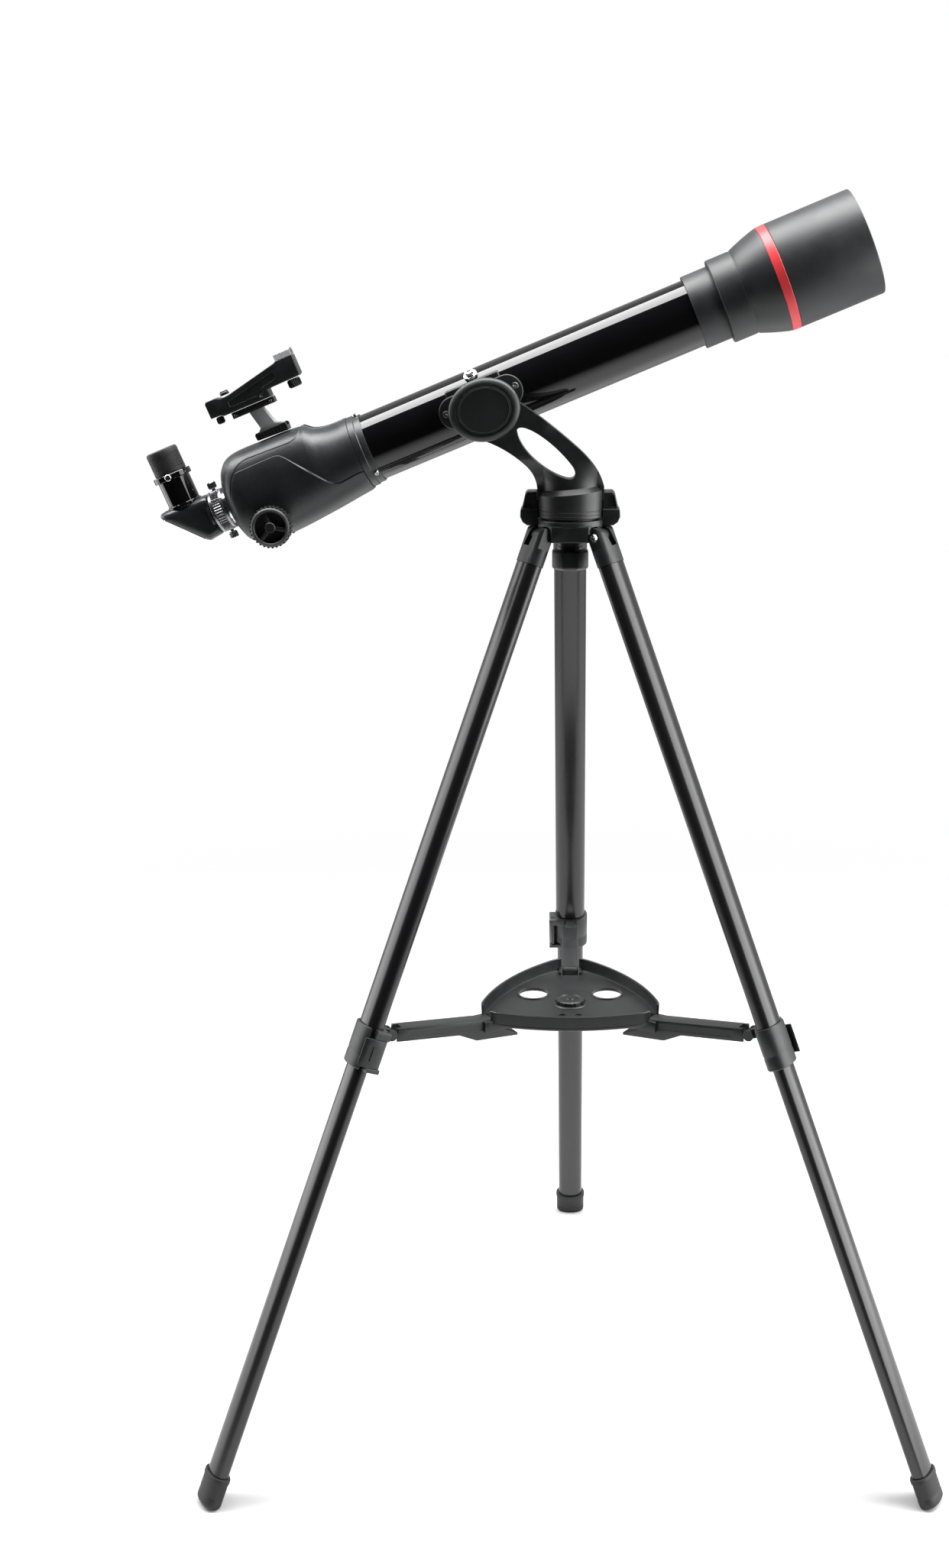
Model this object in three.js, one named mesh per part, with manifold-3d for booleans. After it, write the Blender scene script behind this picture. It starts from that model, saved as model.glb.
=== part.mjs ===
// A 70 mm beginner's refractor telescope on a single-arm alt-azimuth mount, with a folding
// three-leg stand. Millimetres, +Z up. The floor is z = 0 and the objective points along +X,
// raised above the horizon. The origin is the middle of the object's box, on the floor.

import * as THREE from 'three';
import { mergeVertices } from 'three/addons/utils/BufferGeometryUtils.js';
import Module from 'manifold-3d';

const wasm = await Module();
wasm.setup();

// ---------------------------------------------------------------- driving dimensions

const GAP = 0.3;

// Stand: three legs that hang from pins under the head.
const LEG_ANGLES = [90, 210, 330];
const HINGE_RADIUS = 37.7;
const HINGE_HEIGHT = 1019;
const LEG_TILT = THREE.MathUtils.degToRad(22.15);
const LEG_LENGTH = 1098;

const UPPER_WIDTH = 35;
const UPPER_DEPTH = 20.5;
const UPPER_WALL = 1.2;
const UPPER_START = 31;
const UPPER_END = 588;
const LOWER_WIDTH = 31.8;
const LOWER_DEPTH = 17.3;
const LOWER_WALL = 1.2;
const LOWER_START = 505;
const LOWER_END = 1088;
const CLAMP_START = 547;
const CLAMP_END = 593;
const CLAMP_WIDTH = 41;
const CLAMP_DEPTH = 27;
const BOOT_START = 1064;
const BOOT_WIDTH = 38;
const BOOT_DEPTH = 23.5;

// Brace links and accessory tray. LINK_OUTER is measured in the leg's own frame.
const LINK_OUTER_ALONG = 552.5;
const LINK_OUTER_INWARD = 23.5;
const TRAY_PIVOT_RADIUS = 108;
const TRAY_PIVOT_HEIGHT = 486;
const LINK_WIDTH = 19;
const LINK_HEIGHT = 15;
const TRAY_FLOOR = 487;
const TRAY_RIM = 504;
const TRAY_CORNER_REACH = 77;
const TRAY_CORNER_RADIUS = 32;
const TRAY_SIDE_REACH = 81;
const TRAY_WALL = 2.4;
const TRAY_HOLE_RADIUS = 16.5;
const NOTCH_HALF = 10.4;

// Head, azimuth drum and arm.
const HEAD_TOP = 1035.5;
const HEAD_BLOCK_LOW = 1014;
const DRUM_RADIUS = 35.5;
const DRUM_LOW = 1037.6;
const DRUM_TOP = 1062;
const BOLT_RADIUS = 5;
const TONGUE_HALF = 5;
const CAP_HALF = 16.6;
const ARM_FRONT = -36;
const ARM_BACK = -16;
const HUB_X = -87.6;
const HUB_Z = 1151;
const HUB_HALF_LONG = 37;
const HUB_HALF_SHORT = 31.8;
const HUB_TURN = THREE.MathUtils.degToRad(15);
const HUB_FRONT = -47;
const AXLE_RADIUS = 7;

// Optical tube. Its frame has +X along the tube to the objective and +Z up across it.
const TUBE_TILT = THREE.MathUtils.degToRad(22.26);
const TUBE_Y = 32;
const TUBE_OFFSET = 5.5;
const TUBE_RADIUS = 35.5;
const TUBE_WALL = 1.5;
const TUBE_REAR = -141;
const TUBE_FRONT = 262;
const CELL_RADIUS = 39;
const CELL_REAR = 236;
const SHIELD_REAR = 265.3;
const SHIELD_NECK_RADIUS = 44.5;
const SHIELD_RADIUS = 56;
const SHIELD_FRONT = 427;
const BAND_REAR = 324.8;
const BAND_FRONT = 334.4;
const LENS_RADIUS = 35;
const BODY_FRONT = -144;
const BODY_REAR = -294;
const DRAW_RADIUS = 19;
const DRAW_BORE = 16.3;
const NOSE_RADIUS = 15.9;
const RING_RADIUS = 23;
const KNOB_X = -255;
const KNOB_Z = -33;
const KNOB_RADIUS = 22;
const KNOB_INNER = 42.5;
const KNOB_OUTER = 60;
const PINION_RADIUS = 9;
const EYE_X = -339.5;
const EYE_TUBE_RADIUS = 17.4;
const EYE_RING_TOP = 56.5;
const EYE_TOP = 83;

// ---------------------------------------------------------------- materials

function paint(colour, roughness, metalness) {
  return new THREE.MeshStandardMaterial({ color: colour, roughness, metalness });
}

const darkPlastic = paint(0x25282b, 0.55, 0);
const housingPlastic = paint(0x2f3235, 0.5, 0);
const glossBlack = paint(0x08090a, 0.12, 0.1);
const anodised = paint(0x1d2022, 0.32, 0.8);
const chrome = paint(0xc9ccd0, 0.15, 1);
const rubber = paint(0x191a1b, 0.8, 0);
const redPaint = paint(0xd8343c, 0.4, 0);
const glass = paint(0x9fb7c4, 0.05, 0);
const mirrorMetal = paint(0xe6e8ea, 0.05, 1);
const sheetMetal = paint(0x8d9195, 0.35, 0.9);

// ---------------------------------------------------------------- joining and cutting

function asSolid(geometry) {
  const bare = geometry.clone();
  bare.deleteAttribute('normal');
  bare.deleteAttribute('uv');
  const merged = mergeVertices(bare, 1e-3);
  const index = Array.from(merged.index.array);
  const triangles = [];
  for (let i = 0; i < index.length; i += 3) {
    const [a, b, c] = index.slice(i, i + 3);
    if (a !== b && b !== c && c !== a) {
      triangles.push(a, b, c);
    }
  }
  const vertProperties = new Float32Array(merged.attributes.position.array);
  const triVerts = new Uint32Array(triangles);
  return new wasm.Manifold(new wasm.Mesh({ numProp: 3, vertProperties, triVerts }));
}

function asGeometry(solid) {
  const mesh = solid.getMesh();
  const geometry = new THREE.BufferGeometry();
  const points = new Float32Array(mesh.vertProperties);
  geometry.setAttribute('position', new THREE.BufferAttribute(points, 3));
  geometry.setIndex(Array.from(mesh.triVerts));
  return geometry;
}

function join(...geometries) {
  return asGeometry(geometries.map(asSolid).reduce((sum, next) => sum.add(next)));
}

function cut(geometry, ...tools) {
  return asGeometry(tools.map(asSolid).reduce((rest, tool) => rest.subtract(tool), asSolid(geometry)));
}

function keepCommon(geometry, other) {
  return asGeometry(asSolid(geometry).intersect(asSolid(other)));
}

// ---------------------------------------------------------------- plain shapes

function box(x0, x1, y0, y1, z0, z1) {
  const geometry = new THREE.BoxGeometry(x1 - x0, y1 - y0, z1 - z0);
  return geometry.translate((x0 + x1) / 2, (y0 + y1) / 2, (z0 + z1) / 2);
}

// A lathe profile lists [radius, height] pairs, outer side upward.
function turned(profile, segments) {
  const points = profile.map(([radius, height]) => new THREE.Vector2(radius, height));
  return asGeometry(asSolid(new THREE.LatheGeometry(points, segments)));
}

function turnedAlongX(profile, segments) {
  return turned(profile, segments).rotateZ(-Math.PI / 2);
}

function turnedAlongY(profile, segments) {
  return turned(profile, segments);
}

function turnedAlongZ(profile, segments) {
  return turned(profile, segments).rotateX(Math.PI / 2);
}

function discProfile(radius, low, high) {
  return [[0, low], [radius, low], [radius, high], [0, high]];
}

function ringProfile(inner, outer, low, high) {
  return [[inner, low], [outer, low], [outer, high], [inner, high], [inner, low]];
}

function rodX(radius, x0, x1, y, z, segments) {
  return turnedAlongX(discProfile(radius, x0, x1), segments).translate(0, y, z);
}

function rodY(radius, y0, y1, x, z, segments) {
  return turnedAlongY(discProfile(radius, y0, y1), segments).translate(x, 0, z);
}

function rodZ(radius, z0, z1, x, y, segments) {
  return turnedAlongZ(discProfile(radius, z0, z1), segments).translate(x, y, 0);
}

function prismZ(shape, z0, z1, curveSegments) {
  const options = { depth: z1 - z0, bevelEnabled: false, curveSegments };
  return new THREE.ExtrudeGeometry(shape, options).translate(0, 0, z0);
}

// A shape drawn in x and z, given thickness along y.
function prismY(shape, y0, y1, curveSegments) {
  const options = { depth: y1 - y0, bevelEnabled: false, curveSegments };
  return new THREE.ExtrudeGeometry(shape, options).rotateX(Math.PI / 2).translate(0, y1, 0);
}

function polygon(points) {
  return new THREE.Shape(points.map(([x, y]) => new THREE.Vector2(x, y)));
}

// The flat-sided oval of a leg tube: depth along x, width along y.
function oval(depth, width) {
  const radius = depth / 2;
  const reach = width / 2 - radius;
  const shape = new THREE.Shape();
  shape.moveTo(radius, -reach);
  shape.lineTo(radius, reach);
  shape.absarc(0, reach, radius, 0, Math.PI, false);
  shape.lineTo(-radius, -reach);
  shape.absarc(0, -reach, radius, Math.PI, 2 * Math.PI, false);
  return shape;
}

function ovalBar(depth, width, start, end) {
  return prismZ(oval(depth, width), -end, -start, 4);
}

function ovalTube(depth, width, wall, start, end) {
  const outside = ovalBar(depth, width, start, end);
  return cut(outside, ovalBar(depth - 2 * wall, width - 2 * wall, start - 1, end + 1));
}

function named(name, geometry, material) {
  const mesh = new THREE.Mesh(geometry, material);
  mesh.name = name;
  return mesh;
}

// ---------------------------------------------------------------- stand: head

// Three-sided block with a pocket and a tongue for each leg's forked cap, a round plate and
// two side ears that rise beside the azimuth drum.
function tripodHead() {
  const corners = [];
  for (const angle of LEG_ANGLES) {
    for (const side of [-1, 1]) {
      const turn = THREE.MathUtils.degToRad(angle + 180);
      const x = 36 * Math.cos(turn) - side * 19.5 * Math.sin(turn);
      const y = 36 * Math.sin(turn) + side * 19.5 * Math.cos(turn);
      corners.push([x, y]);
    }
  }
  let head = prismZ(polygon(corners), HEAD_BLOCK_LOW, 1031, 1);
  head = join(head, rodZ(DRUM_RADIUS + 1, 1029, HEAD_TOP, 0, 0, 28));
  head = join(head, box(-52.5, 52.5, -13, 15, 1032, 1047));
  head = join(head, box(-50.5, 50.5, -12, 14, 1040, 1065));
  head = cut(head, rodZ(DRUM_RADIUS + 1.5, HEAD_TOP, 1070, 0, 0, 28));
  for (const angle of LEG_ANGLES) {
    const turn = THREE.MathUtils.degToRad(angle);
    const pocket = box(26, 70, -CAP_HALF - 0.6, CAP_HALF + 0.6, 1000, 1029.8);
    const seat = rodY(5.2, -40, -CAP_HALF, HINGE_RADIUS, HINGE_HEIGHT, 12);
    const tongue = join(box(18, 36, -TONGUE_HALF, TONGUE_HALF, 1014.5, 1031),
      rodY(7.5, -TONGUE_HALF, TONGUE_HALF, HINGE_RADIUS, HINGE_HEIGHT, 14));
    const bore = rodY(3.3, -30, 30, HINGE_RADIUS, HINGE_HEIGHT, 12);
    head = cut(head, pocket.rotateZ(turn), seat.rotateZ(turn));
    head = join(head, cut(tongue, bore).rotateZ(turn));
  }
  return cut(head, rodZ(BOLT_RADIUS + 0.6, 1000, 1070, 0, 0, 20));
}

function legBolt() {
  const shank = rodY(3, -18, 15.6, HINGE_RADIUS, HINGE_HEIGHT, 12);
  const head = rodY(4.6, -19.8, -CAP_HALF - GAP, HINGE_RADIUS, HINGE_HEIGHT, 12);
  return join(shank, head);
}

// Thin nylon glide ring.
function azimuthBearing() {
  return turnedAlongZ(ringProfile(8, 30, HEAD_TOP + GAP, DRUM_LOW - GAP), 20);
}

// Twelve-sided hand nut with the bolt that holds the drum down on the head.
function headKnob() {
  const grip = turnedAlongZ([[0, 982], [18, 982], [19.8, 984], [19.8, 1001], [18, 1003], [14, 1003],
    [14, HEAD_BLOCK_LOW - GAP], [0, HEAD_BLOCK_LOW - GAP]], 12);
  return join(grip, rodZ(BOLT_RADIUS, 1000, 1054, 0, 0, 20));
}

// ---------------------------------------------------------------- stand: one leg
// A leg's frame has its origin on the hinge pin, -Z down the leg, +X outward, Y across.

function legCap() {
  const side = [[-12, -40], [12, -40], [12, -12]];
  for (let step = 0; step <= 12; step += 1) {
    const angle = Math.PI * step / 12;
    side.push([9.8 * Math.cos(angle), 9.8 * Math.sin(angle)]);
  }
  side.push([-12, -12]);
  const body = ovalBar(UPPER_DEPTH + 1.4, UPPER_WIDTH + 1.4, -12, UPPER_START - GAP);
  const fork = cut(keepCommon(body, prismY(polygon(side), -30, 30, 1)),
    box(-20, 20, CAP_HALF, 25, -13, 20), box(-20, 20, -25, -CAP_HALF, -13, 20),
    box(-20, 20, -TONGUE_HALF - GAP, TONGUE_HALF + GAP, -13, 20));
  const plug = ovalBar(UPPER_DEPTH - 3.2, UPPER_WIDTH - 3.2, 28, 52);
  return cut(join(fork, plug), rodY(3.4, -20, 15.9, 0, 0, 12));
}

function upperTube() {
  return ovalTube(UPPER_DEPTH, UPPER_WIDTH, UPPER_WALL, UPPER_START, UPPER_END);
}

// Sleeve that joins the two tubes: a wide bore for the upper tube above a narrow one for the
// lower, a lug for the brace link on the inner side and two knuckles for the lever.
function legClamp() {
  const sleeve = ovalBar(CLAMP_DEPTH, CLAMP_WIDTH, CLAMP_START, CLAMP_END);
  const lug = box(-LINK_OUTER_INWARD, -8, -5, 5, -LINK_OUTER_ALONG - 5, -LINK_OUTER_ALONG + 5);
  const lugEye = rodY(5, -5, 5, -LINK_OUTER_INWARD, -LINK_OUTER_ALONG, 16);
  const topKnuckle = box(-13, 4, 12, 26, -CLAMP_START - 9, -CLAMP_START);
  const lowKnuckle = box(-13, 4, 12, 26, -CLAMP_END, -CLAMP_END + 5);
  const solid = join(sleeve, lug, lugEye, topKnuckle, lowKnuckle);
  const play = 2 * GAP;
  const upperBore = ovalBar(UPPER_DEPTH + play, UPPER_WIDTH + play, 500, UPPER_END + GAP);
  const lowerBore = ovalBar(LOWER_DEPTH + play, LOWER_WIDTH + play, 500, 700);
  const linkBore = rodY(2.4, -9, 9, -LINK_OUTER_INWARD, -LINK_OUTER_ALONG, 12);
  const leverBore = rodZ(2, -CLAMP_END - 1, -CLAMP_START + 1, -9, 22, 10);
  return cut(solid, upperBore, lowerBore, linkBore, leverBore);
}

// Flip lever beside the sleeve, turning on a pin along the leg.
function clampLever() {
  const low = -CLAMP_END + 5 + GAP;
  const high = -CLAMP_START - 9 - GAP;
  const barrel = rodZ(3.6, low, high, -9, 22, 12);
  const flap = polygon([[-9, 21.3], [9, 21.3], [13, 20], [14.5, 22], [12, 25], [0, 27.6], [-9, 25.6]]);
  const pin = rodZ(1.7, -CLAMP_END + 0.5, -CLAMP_START - 0.5, -9, 22, 10);
  return join(barrel, prismZ(flap, low, high, 1), pin);
}

function lowerTube() {
  return ovalTube(LOWER_DEPTH, LOWER_WIDTH, LOWER_WALL, LOWER_START, LOWER_END);
}

// Rubber boot over the tube's end. Its sole is trimmed level with the floor.
function boot(legFrame) {
  const outer = join(ovalBar(BOOT_DEPTH, BOOT_WIDTH, BOOT_START + 6, LEG_LENGTH - 3),
    ovalBar(BOOT_DEPTH + 1.6, BOOT_WIDTH + 1.6, BOOT_START, BOOT_START + 6),
    ovalBar(BOOT_DEPTH - 3, BOOT_WIDTH - 3, LEG_LENGTH - 3, LEG_LENGTH));
  const play = 2 * GAP;
  const socket = ovalBar(LOWER_DEPTH + play, LOWER_WIDTH + play, BOOT_START - 1, LOWER_END + GAP);
  const floor = box(300, 600, -60, 60, -40, 0).applyMatrix4(legFrame.clone().invert());
  return cut(outer, socket, floor);
}

// ---------------------------------------------------------------- stand: brace and tray

// Channel link from the clamp to the tray's corner, drawn in the leg's upright plane, with a
// tail under the tray. Its inner end has no pin: that pivot is left open.
function braceLink(outer) {
  const dx = outer.x - TRAY_PIVOT_RADIUS;
  const dz = outer.z - TRAY_PIVOT_HEIGHT;
  const reach = -Math.hypot(dx, dz);
  const half = LINK_HEIGHT / 2;
  const wide = LINK_WIDTH / 2;
  const side = polygon([[-6, half], [reach - 4, half], [reach - 7, half - 3], [reach - 7, -1],
    [reach - 37, -half - 3], [reach - 37, -half - 6], [reach + 14, -half - 8], [reach + 36, -half],
    [-6, -half]]);
  const channel = prismY(side, -wide, wide, 1);
  const hollow = box(reach - 1, -4, -wide + 2.2, wide - 2.2, -half - 12, half - 2.2);
  const ears = join(rodY(6, -wide, wide, 0, 0, 12), box(-10, 0, -wide, wide, -6, 6));
  const fork = box(-12, 8, -wide + 3.9, wide - 3.9, -20, 20);
  const pin = rodY(2.1, -wide + 1, wide - 1, 0, 0, 10);
  const link = join(cut(join(channel, ears), hollow, fork), pin);
  return link.rotateY(-Math.atan2(dz, dx)).translate(outer.x, 0, outer.z);
}

// Rounded triangle: three wide side arcs between three corner arcs, inset by a distance.
function trayOutline(inset) {
  const third = (2 * Math.PI) / 3;
  const cornerRadius = TRAY_CORNER_RADIUS - inset;
  const gap = TRAY_SIDE_REACH - TRAY_CORNER_RADIUS;
  const centre = (TRAY_CORNER_REACH ** 2 - gap ** 2) / (2 * gap - TRAY_CORNER_REACH);
  const sideRadius = TRAY_SIDE_REACH + centre;
  const drop = centre + TRAY_CORNER_REACH / 2;
  const rise = TRAY_CORNER_REACH * Math.sin(Math.PI / 3);
  const spread = Math.atan2(rise, drop);
  const shape = new THREE.Shape();
  for (let i = 0; i < 3; i += 1) {
    const corner = Math.PI / 2 + i * third;
    const x = TRAY_CORNER_REACH * Math.cos(corner);
    const y = TRAY_CORNER_REACH * Math.sin(corner);
    const halfTurn = Math.PI / 3 - spread;
    shape.absarc(x, y, cornerRadius, corner - halfTurn, corner + halfTurn, false);
    const side = corner + Math.PI / 3;
    const sx = -centre * Math.cos(side);
    const sy = -centre * Math.sin(side);
    shape.absarc(sx, sy, sideRadius - inset, side - spread, side + spread, false);
  }
  return shape;
}

function tray() {
  let dish = prismZ(trayOutline(0), TRAY_FLOOR, TRAY_RIM, 5);
  dish = cut(dish, prismZ(trayOutline(TRAY_WALL), TRAY_FLOOR + TRAY_WALL, TRAY_RIM + 1, 5));
  for (const angle of LEG_ANGLES) {
    const turn = THREE.MathUtils.degToRad(angle);
    const cheeks = box(88, TRAY_PIVOT_RADIUS + 7, -13.4, 13.4, 480.5, 493);
    dish = join(dish, cheeks.rotateZ(turn));
    dish = cut(dish, box(86, 130, -NOTCH_HALF, NOTCH_HALF, 470, 520).rotateZ(turn));
  }
  for (const side of [-1, 1]) {
    dish = cut(dish, rodZ(TRAY_HOLE_RADIUS, 470, 520, side * 42, 27, 20));
  }
  return cut(dish, rodZ(4.4, 470, 520, 0, 0, 12));
}

function trayKnob() {
  const top = TRAY_FLOOR + TRAY_WALL + GAP;
  const cap = turnedAlongZ([[0, top], [16, top], [15, top + 4], [11, top + 5.5], [0, top + 5.5]], 16);
  const nut = rodZ(9, TRAY_FLOOR - 8, TRAY_FLOOR - GAP, 0, 0, 6);
  return join(cap, rodZ(4, TRAY_FLOOR - 8, top + 1, 0, 0, 12), nut);
}

// ---------------------------------------------------------------- mount

function hubOval(scale) {
  const shape = new THREE.Shape();
  const long = HUB_HALF_LONG * scale;
  const short = HUB_HALF_SHORT * scale;
  shape.absellipse(HUB_X, HUB_Z, long, short, 0, 2 * Math.PI, false, HUB_TURN);
  return shape;
}

// The arm's side: it leaves the drum upright, leans back to the hub and holds a leaf-shaped hole.
function armOutline() {
  const shape = new THREE.Shape();
  shape.moveTo(-34.8, DRUM_TOP - 10);
  shape.lineTo(34.8, DRUM_TOP - 10);
  shape.lineTo(36, 1070);
  shape.bezierCurveTo(32, 1085, 24, 1097, 10, 1110);
  shape.bezierCurveTo(-8, 1126, -28, 1142, -52, 1158);
  shape.lineTo(-92, 1150);
  shape.lineTo(-92, 1120);
  shape.bezierCurveTo(-72, 1114, -54, 1102, -44, 1091);
  shape.bezierCurveTo(-38, 1084, -35, 1076, -34.5, 1068);
  const hole = new THREE.Path();
  hole.moveTo(-55, 1130);
  hole.bezierCurveTo(-50, 1140, -16, 1118, 3, 1092);
  hole.bezierCurveTo(8, 1083, 4, 1078, -4, 1080);
  hole.bezierCurveTo(-24, 1085, -54, 1110, -55, 1130);
  shape.holes.push(hole);
  return shape;
}

function mountArm() {
  const drum = turnedAlongZ([[0, DRUM_LOW], [DRUM_RADIUS - 1, DRUM_LOW], [DRUM_RADIUS, DRUM_LOW + 1],
    [DRUM_RADIUS, DRUM_TOP - 4], [DRUM_RADIUS - 4, DRUM_TOP], [0, DRUM_TOP]], 28);
  const plate = prismY(armOutline(), ARM_FRONT, ARM_BACK, 6);
  const below = box(-60, 60, -60, 0, 1000, 1066);
  const front = join(cut(plate, below), keepCommon(plate, rodZ(DRUM_RADIUS, 1045, 1067, 0, 0, 28)));
  const hub = join(prismY(hubOval(1), HUB_FRONT, HUB_FRONT + 14, 12),
    prismY(hubOval(0.88), HUB_FRONT + 10, ARM_BACK, 12));
  const recess = prismY(hubOval(0.78), HUB_FRONT - 5, HUB_FRONT + 4, 12);
  const axleBore = rodY(AXLE_RADIUS + GAP, -60, 0, HUB_X, HUB_Z, 20);
  const boltBore = rodZ(BOLT_RADIUS + 0.4, 1030, 1056, 0, 0, 20);
  return cut(join(drum, front, hub), recess, axleBore, boltBore);
}

function hubCap() {
  return prismY(hubOval(0.765), HUB_FRONT - 0.5, HUB_FRONT + 3.7, 12);
}

// ---------------------------------------------------------------- mount: cradle
// From here on, pieces are drawn in the tube's frame.

// Plate with two screw ears, a round boss against the arm and a saddle that follows the tube.
function cradle() {
  const boss = ARM_BACK + GAP - TUBE_Y;
  const face = boss + 2.6;
  const plate = prismY(oval(34, 92), face, face + 6, 6).rotateY(Math.PI / 2);
  const saddle = box(-34, 26, face + 5, -10, -25, 25);
  const pad = rodY(20, boss, face + 1, 0, -TUBE_OFFSET, 24);
  const screws = [-40, 37].map((x) => rodY(3.8, boss + 0.2, face + 1, x, 4, 12));
  const bore = rodY(AXLE_RADIUS + GAP, boss - 2, face + 5, 0, -TUBE_OFFSET, 16);
  const tube = rodX(TUBE_RADIUS + GAP, -80, 80, 0, 0, 36);
  return cut(join(plate.translate(-2, 0, 2), saddle, pad, ...screws), bore, tube);
}

function altitudeAxle() {
  const start = HUB_FRONT + 5 - TUBE_Y;
  const end = ARM_BACK + 7 - TUBE_Y;
  return rodY(AXLE_RADIUS, start, end, 0, -TUBE_OFFSET, 16);
}

// Chrome cap screw through the upper near side of the tube into the cradle's strap.
function cradlePost() {
  const head = turnedAlongZ([[0, TUBE_RADIUS + GAP], [7.5, TUBE_RADIUS + GAP], [7.5, TUBE_RADIUS + 3],
    [5, TUBE_RADIUS + 3.4], [5, TUBE_RADIUS + 7], [0, TUBE_RADIUS + 7]], 12);
  return head.rotateX(THREE.MathUtils.degToRad(34)).translate(-3, 0, 0);
}

// ---------------------------------------------------------------- optical tube

function mainTube() {
  return turnedAlongX(ringProfile(TUBE_RADIUS - TUBE_WALL, TUBE_RADIUS, TUBE_REAR, TUBE_FRONT), 36);
}

function objectiveCell() {
  const bore = TUBE_RADIUS + GAP;
  const lip = 33.5;
  return turnedAlongX([[bore, CELL_REAR], [CELL_RADIUS, CELL_REAR], [CELL_RADIUS, SHIELD_REAR - GAP],
    [41, SHIELD_REAR - GAP], [41, 288], [36.5, 288], [36.5, 268], [lip, 268], [lip, TUBE_FRONT + GAP],
    [bore, TUBE_FRONT + GAP], [bore, CELL_REAR]], 28);
}

function objectiveLens() {
  const front = [];
  for (let i = 0; i <= 3; i += 1) {
    const radius = LENS_RADIUS * (1 - i / 3);
    front.push([radius, 275 + 3 * (1 - (radius / LENS_RADIUS) ** 2)]);
  }
  return turnedAlongX([[0, 268 + GAP], [LENS_RADIUS, 268 + GAP], ...front], 24);
}

// Flared light shade with a groove for the band.
function dewShield() {
  return turnedAlongX([[41.5, SHIELD_REAR], [43.5, SHIELD_REAR], [SHIELD_NECK_RADIUS, SHIELD_REAR + 1.5],
    [SHIELD_NECK_RADIUS, 292.5], [55.2, BAND_REAR - GAP], [54, BAND_REAR - GAP],
    [54.4, BAND_FRONT + GAP], [SHIELD_RADIUS, BAND_FRONT + GAP], [SHIELD_RADIUS, SHIELD_FRONT - 1],
    [SHIELD_RADIUS - 1, SHIELD_FRONT], [SHIELD_RADIUS - 2.5, SHIELD_FRONT - 1], [SHIELD_RADIUS - 3, 338],
    [51.5, 322], [41.5, 294], [41.5, SHIELD_REAR]], 36);
}

function redBand() {
  return turnedAlongX([[54.7, BAND_REAR], [55.7, BAND_REAR], [56.2, BAND_FRONT], [54.7, BAND_FRONT],
    [54.7, BAND_REAR]], 36);
}

// Ring at the tube's rear end, with the heads of its three screws.
function rearRing() {
  const ring = turnedAlongX(ringProfile(TUBE_RADIUS + GAP, 37.2, BODY_FRONT + GAP, -129.5), 36);
  const heads = [];
  for (const degrees of [10, 130, 250]) {
    const turn = THREE.MathUtils.degToRad(degrees);
    const head = rodZ(2.8, 36.6, 39.4, -136, 0, 8);
    heads.push(head.rotateX(turn));
  }
  return join(ring, ...heads);
}

// A closed skin through oval sections across x, each with its own top, bottom and half width.
function loftAlongX(stations, segments) {
  const positions = [];
  const index = [];
  for (const [x, top, bottom, half] of stations) {
    for (let i = 0; i < segments; i += 1) {
      const turn = (2 * Math.PI * i) / segments;
      const y = half * Math.sign(Math.cos(turn)) * Math.abs(Math.cos(turn)) ** 0.85;
      const lift = Math.sign(Math.sin(turn)) * Math.abs(Math.sin(turn)) ** 0.85;
      positions.push(x, y, (top + bottom) / 2 + (lift * (top - bottom)) / 2);
    }
  }
  const last = stations.length - 1;
  for (let j = 0; j < last; j += 1) {
    for (let i = 0; i < segments; i += 1) {
      const a = j * segments + i;
      const b = j * segments + ((i + 1) % segments);
      index.push(a, a + segments, b, b, a + segments, b + segments);
    }
  }
  for (const [ring, flip] of [[0, false], [last, true]]) {
    const [x, top, bottom] = stations[ring];
    const middle = positions.length / 3;
    positions.push(x, 0, (top + bottom) / 2);
    for (let i = 0; i < segments; i += 1) {
      const a = ring * segments + i;
      const b = ring * segments + ((i + 1) % segments);
      index.push(middle, flip ? b : a, flip ? a : b);
    }
  }
  const geometry = new THREE.BufferGeometry();
  geometry.setAttribute('position', new THREE.Float32BufferAttribute(positions, 3));
  geometry.setIndex(index);
  return geometry;
}

// Moulded focuser housing: round where it meets the tube, waisted, then tall and boxy, with a
// stepped bore for the light and the drawtube and a pocket for the pinion.
function rearBody() {
  const skin = loftAlongX([
    [BODY_FRONT, 38.8, -39.6, 39],
    [-165, 39, -42, 39.4],
    [-179, 42.5, -43.8, 40],
    [-191, 50.3, -45.2, 40.5],
    [-240, 52.3, -49.2, 41],
    [-268, 51.8, -47, 40.5],
    [-281, 47.5, -44.4, 38],
    [-289, 38, -38, 32],
    [BODY_REAR, 25, -27, 22],
  ], 24);
  const lightBore = rodX(33, -230, -140, 0, 0, 24);
  const drawBore = rodX(DRAW_RADIUS + 0.7, -300, -225, 0, 0, 24);
  const rackSlot = box(-300, -225, -4, 4, -23.5, -10);
  const pinionPocket = box(KNOB_X - 11, KNOB_X + 11, -11, 11, KNOB_Z - 10.5, -15);
  const shaftBore = rodY(3.5, -60, 60, KNOB_X, KNOB_Z, 14);
  return cut(skin, lightBore, drawBore, rackSlot, pinionPocket, shaftBore);
}

function focusKnob(side) {
  const profile = [[0, KNOB_INNER], [KNOB_RADIUS - 2, KNOB_INNER], [KNOB_RADIUS, KNOB_INNER + 2],
    [KNOB_RADIUS, KNOB_OUTER - 3], [KNOB_RADIUS - 3, KNOB_OUTER], [0, KNOB_OUTER - 3]];
  let knob = turnedAlongY(profile, 20);
  knob = cut(knob, rodY(3.3, KNOB_INNER - 5, KNOB_INNER + 9, 0, 0, 14));
  if (side < 0) {
    knob.rotateX(Math.PI);
  }
  return knob.translate(KNOB_X, 0, KNOB_Z);
}

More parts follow.
